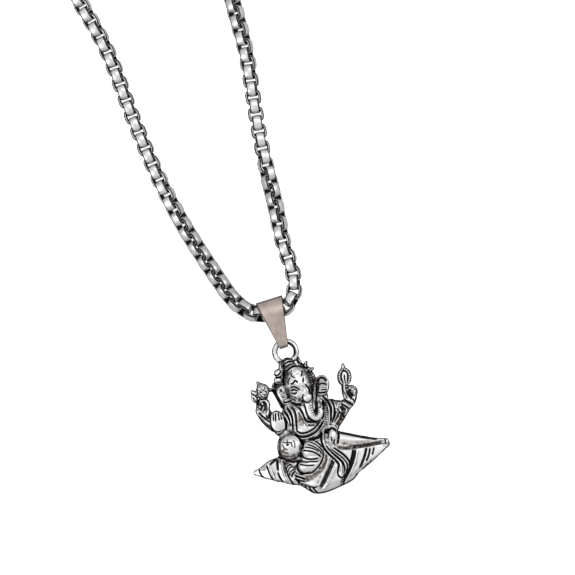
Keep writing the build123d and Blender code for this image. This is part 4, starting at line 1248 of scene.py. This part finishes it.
def finish_metal(tree, surface, colour, roughness, normal):
    tree.links.new(colour, surface.inputs["Base Color"])
    tree.links.new(roughness, surface.inputs["Roughness"])
    tree.links.new(normal, surface.inputs["Normal"])
    surface.inputs["Metallic"].default_value = 1


def new_group(name, inputs, outputs):
    """An empty shader group with float inputs and the named outputs."""
    group = bpy.data.node_groups.new(name, "ShaderNodeTree")
    for label, value in inputs:
        socket = group.interface.new_socket(label, in_out="INPUT", socket_type="NodeSocketFloat")
        socket.default_value = value
    for label, kind in outputs:
        group.interface.new_socket(label, in_out="OUTPUT", socket_type=kind)
    return group, group.nodes.new("NodeGroupInput"), group.nodes.new("NodeGroupOutput")


def use_wear(tree, roughness, spread, scratches, bump):
    """The roughness and the normal of a metal's wear."""
    made = tree.nodes.new("ShaderNodeGroup")
    made.node_tree = metal_wear
    made.inputs["Roughness"].default_value = roughness
    made.inputs["Spread"].default_value = spread
    made.inputs["Scratches"].default_value = scratches
    made.inputs["Bump"].default_value = bump
    return made.outputs["Roughness"], made.outputs["Normal"]


def make_metal_wear():
    """Fine wear of a metal: cloudy roughness, hair scratches and a soft bump of both."""
    group, given, result = new_group(
        "metal_wear",
        [("Roughness", 0.2), ("Spread", 0.1), ("Scratches", 0.3), ("Bump", 0.2)],
        [("Roughness", "NodeSocketFloat"), ("Normal", "NodeSocketVector")])
    place = add_node(group, "ShaderNodeTexCoord").outputs["Object"]
    clouds = add_noise(group, place, scale=900.0, detail=4.0)
    stretch = add_node(group, "ShaderNodeMapping", {"Vector": place, "Rotation": (0.3, 0.2, 0.9),
                                                    "Scale": (9000.0, 700.0, 3000.0)})
    hairs = add_noise(group, stretch.outputs["Vector"], scale=1.0, detail=2.0)
    marked = add_maths(group, "MULTIPLY", add_range(group, hairs, HAIR_SPAN), given.outputs["Scratches"])
    both = add_maths(group, "ADD", clouds, marked)
    centred = add_maths(group, "SUBTRACT", both, 0.5)
    spread = add_maths(group, "MULTIPLY_ADD", centred, given.outputs["Spread"], given.outputs["Roughness"])
    group.links.new(spread, result.inputs["Roughness"])
    group.links.new(add_bump(group, both, given.outputs["Bump"]), result.inputs["Normal"])
    return group


def make_antiqued_silver():
    """Polished on its raised places, black with old silver oxide in its hollows, and with painted shade along
    its outline at the foot, on its steep sides and on the hanging ring's wire.
    """
    paint, tree, surface = new_material("antiqued_silver")
    place = add_node(tree, "ShaderNodeTexCoord").outputs["Object"]
    blotches = add_noise(tree, place, scale=1500.0, detail=8.0, roughness=0.62)
    uneven = add_range(tree, blotches, BLOTCH_SPAN, -MOTTLING, MOTTLING)
    # The mark holds the oxide's depth and the painted shade, with random blotches added
    oxide_and_shade_mark = add_maths(tree, "ADD", stored(tree, "recess_and_shade"), uneven)
    tone = add_ramp(tree, oxide_and_shade_mark, SILVER_TONES)
    # Painted shade on steep sides, mixed towards the oxide black
    side = add_range(tree, upward(tree), SIDE_SHADE_SPAN, 0.0, SIDE_SHADE_DARKNESS, interpolation_type="SMOOTHSTEP")
    black = add_range(tree, oxide_and_shade_mark, BLACK_SPAN)
    worn, normal = use_wear(tree, roughness=0.36, spread=0.16, scratches=0.4, bump=0.5)
    rough = add_mix(tree, black, worn, BLACK_ROUGHNESS, "FLOAT")
    finish_metal(tree, surface, add_mix(tree, side, tone, OXIDE_AND_SHADE), rough, normal)
    return paint


def make_steel(name, colour, roughness, spread, scratches, bump):
    paint, tree, surface = new_material(name)
    place = add_node(tree, "ShaderNodeTexCoord").outputs["Object"]
    clouds = add_noise(tree, place, scale=350.0, detail=3.0)
    darker = tuple(c * CLOUD_DARKER for c in colour) + (1,)
    brighter = tuple(min(c * CLOUD_BRIGHTER, 1) for c in colour) + (1,)
    worn, normal = use_wear(tree, roughness, spread, scratches, bump)
    finish_metal(tree, surface, add_mix(tree, clouds, darker, brighter), worn, normal)
    return paint


def make_chain_steel():
    """Bright on the sides of each link, with painted shade inside it, along its edges and round its corners.
    """
    paint = make_steel("chain_steel", CHAIN_COLOUR, roughness=0.33, spread=0.14, scratches=0.35, bump=0.3)
    tree, surface = paint.node_tree, paint.node_tree.nodes["Principled BSDF"]
    # Painted shade along the link's edges and inside it, and round its corners
    rim = add_range(tree, stored(tree, "edge"), CHAIN_RIM_SHADE_SPAN)
    bend_shade = add_range(tree, stored(tree, "end"), CHAIN_CORNER_SHADE_SPAN)
    bright = surface.inputs["Base Color"].links[0].from_socket
    colour = add_mix(tree, add_maths(tree, "MAXIMUM", rim, bend_shade), bright, CHAIN_PAINTED_SHADE)
    tree.links.new(colour, surface.inputs["Base Color"])
    return paint


def make_brushed_steel():
    """Warm steel, brushed along the strip, with painted shade along its edges and where it bends away."""
    paint, tree, surface = new_material("brushed_steel")
    place = add_node(tree, "ShaderNodeTexCoord").outputs["Object"]
    stretch = add_node(tree, "ShaderNodeMapping", {"Vector": place, "Scale": (11000.0, 500.0, 500.0)})
    grain = add_noise(tree, stretch.outputs["Vector"], scale=1.0, detail=3.0)
    clouds = add_noise(tree, place, scale=400.0, detail=2.0)
    shade = add_ramp(tree, add_maths(tree, "MULTIPLY", grain, clouds), BAIL_TONES)
    rough = add_range(tree, grain, (0, 1), *BAIL_ROUGHNESS)
    # Painted shade along the strip's edges and where it faces away from above
    rim = add_range(tree, add_maths(tree, "ABSOLUTE", stored(tree, "across")), BAIL_EDGE_SHADE_SPAN)
    bend_shade = add_range(tree, upward(tree), BAIL_BEND_SHADE_SPAN)
    colour = add_mix(tree, add_maths(tree, "MAXIMUM", rim, bend_shade), shade, BAIL_PAINTED_SHADE)
    finish_metal(tree, surface, colour, rough, add_bump(tree, grain, BAIL_BUMP))
    return paint


def finish_hidden_end():
    """The clasp and its two jump rings keep their own shapes."""
    for node in ("clasp", "jump_ring_left", "jump_ring_right"):
        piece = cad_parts[node]
        piece.data.materials.clear()
        piece.data.materials.append(clasp_steel)


only()
metal_wear = make_metal_wear()
antiqued_silver = make_antiqued_silver()
brushed_steel = make_brushed_steel()
chain_steel = make_chain_steel()
clasp_steel = make_steel("clasp_steel", CLASP_COLOUR, roughness=0.26, spread=0.12, scratches=0.5, bump=0.25)

add_camera()
add_floor()
add_lights()
pattern = one_link()
for chain_node in ("chain_left", "chain_right"):
    add_chain(chain_node, pattern)
bpy.data.objects.remove(pattern)
add_casting()
add_bail()
finish_hidden_end()
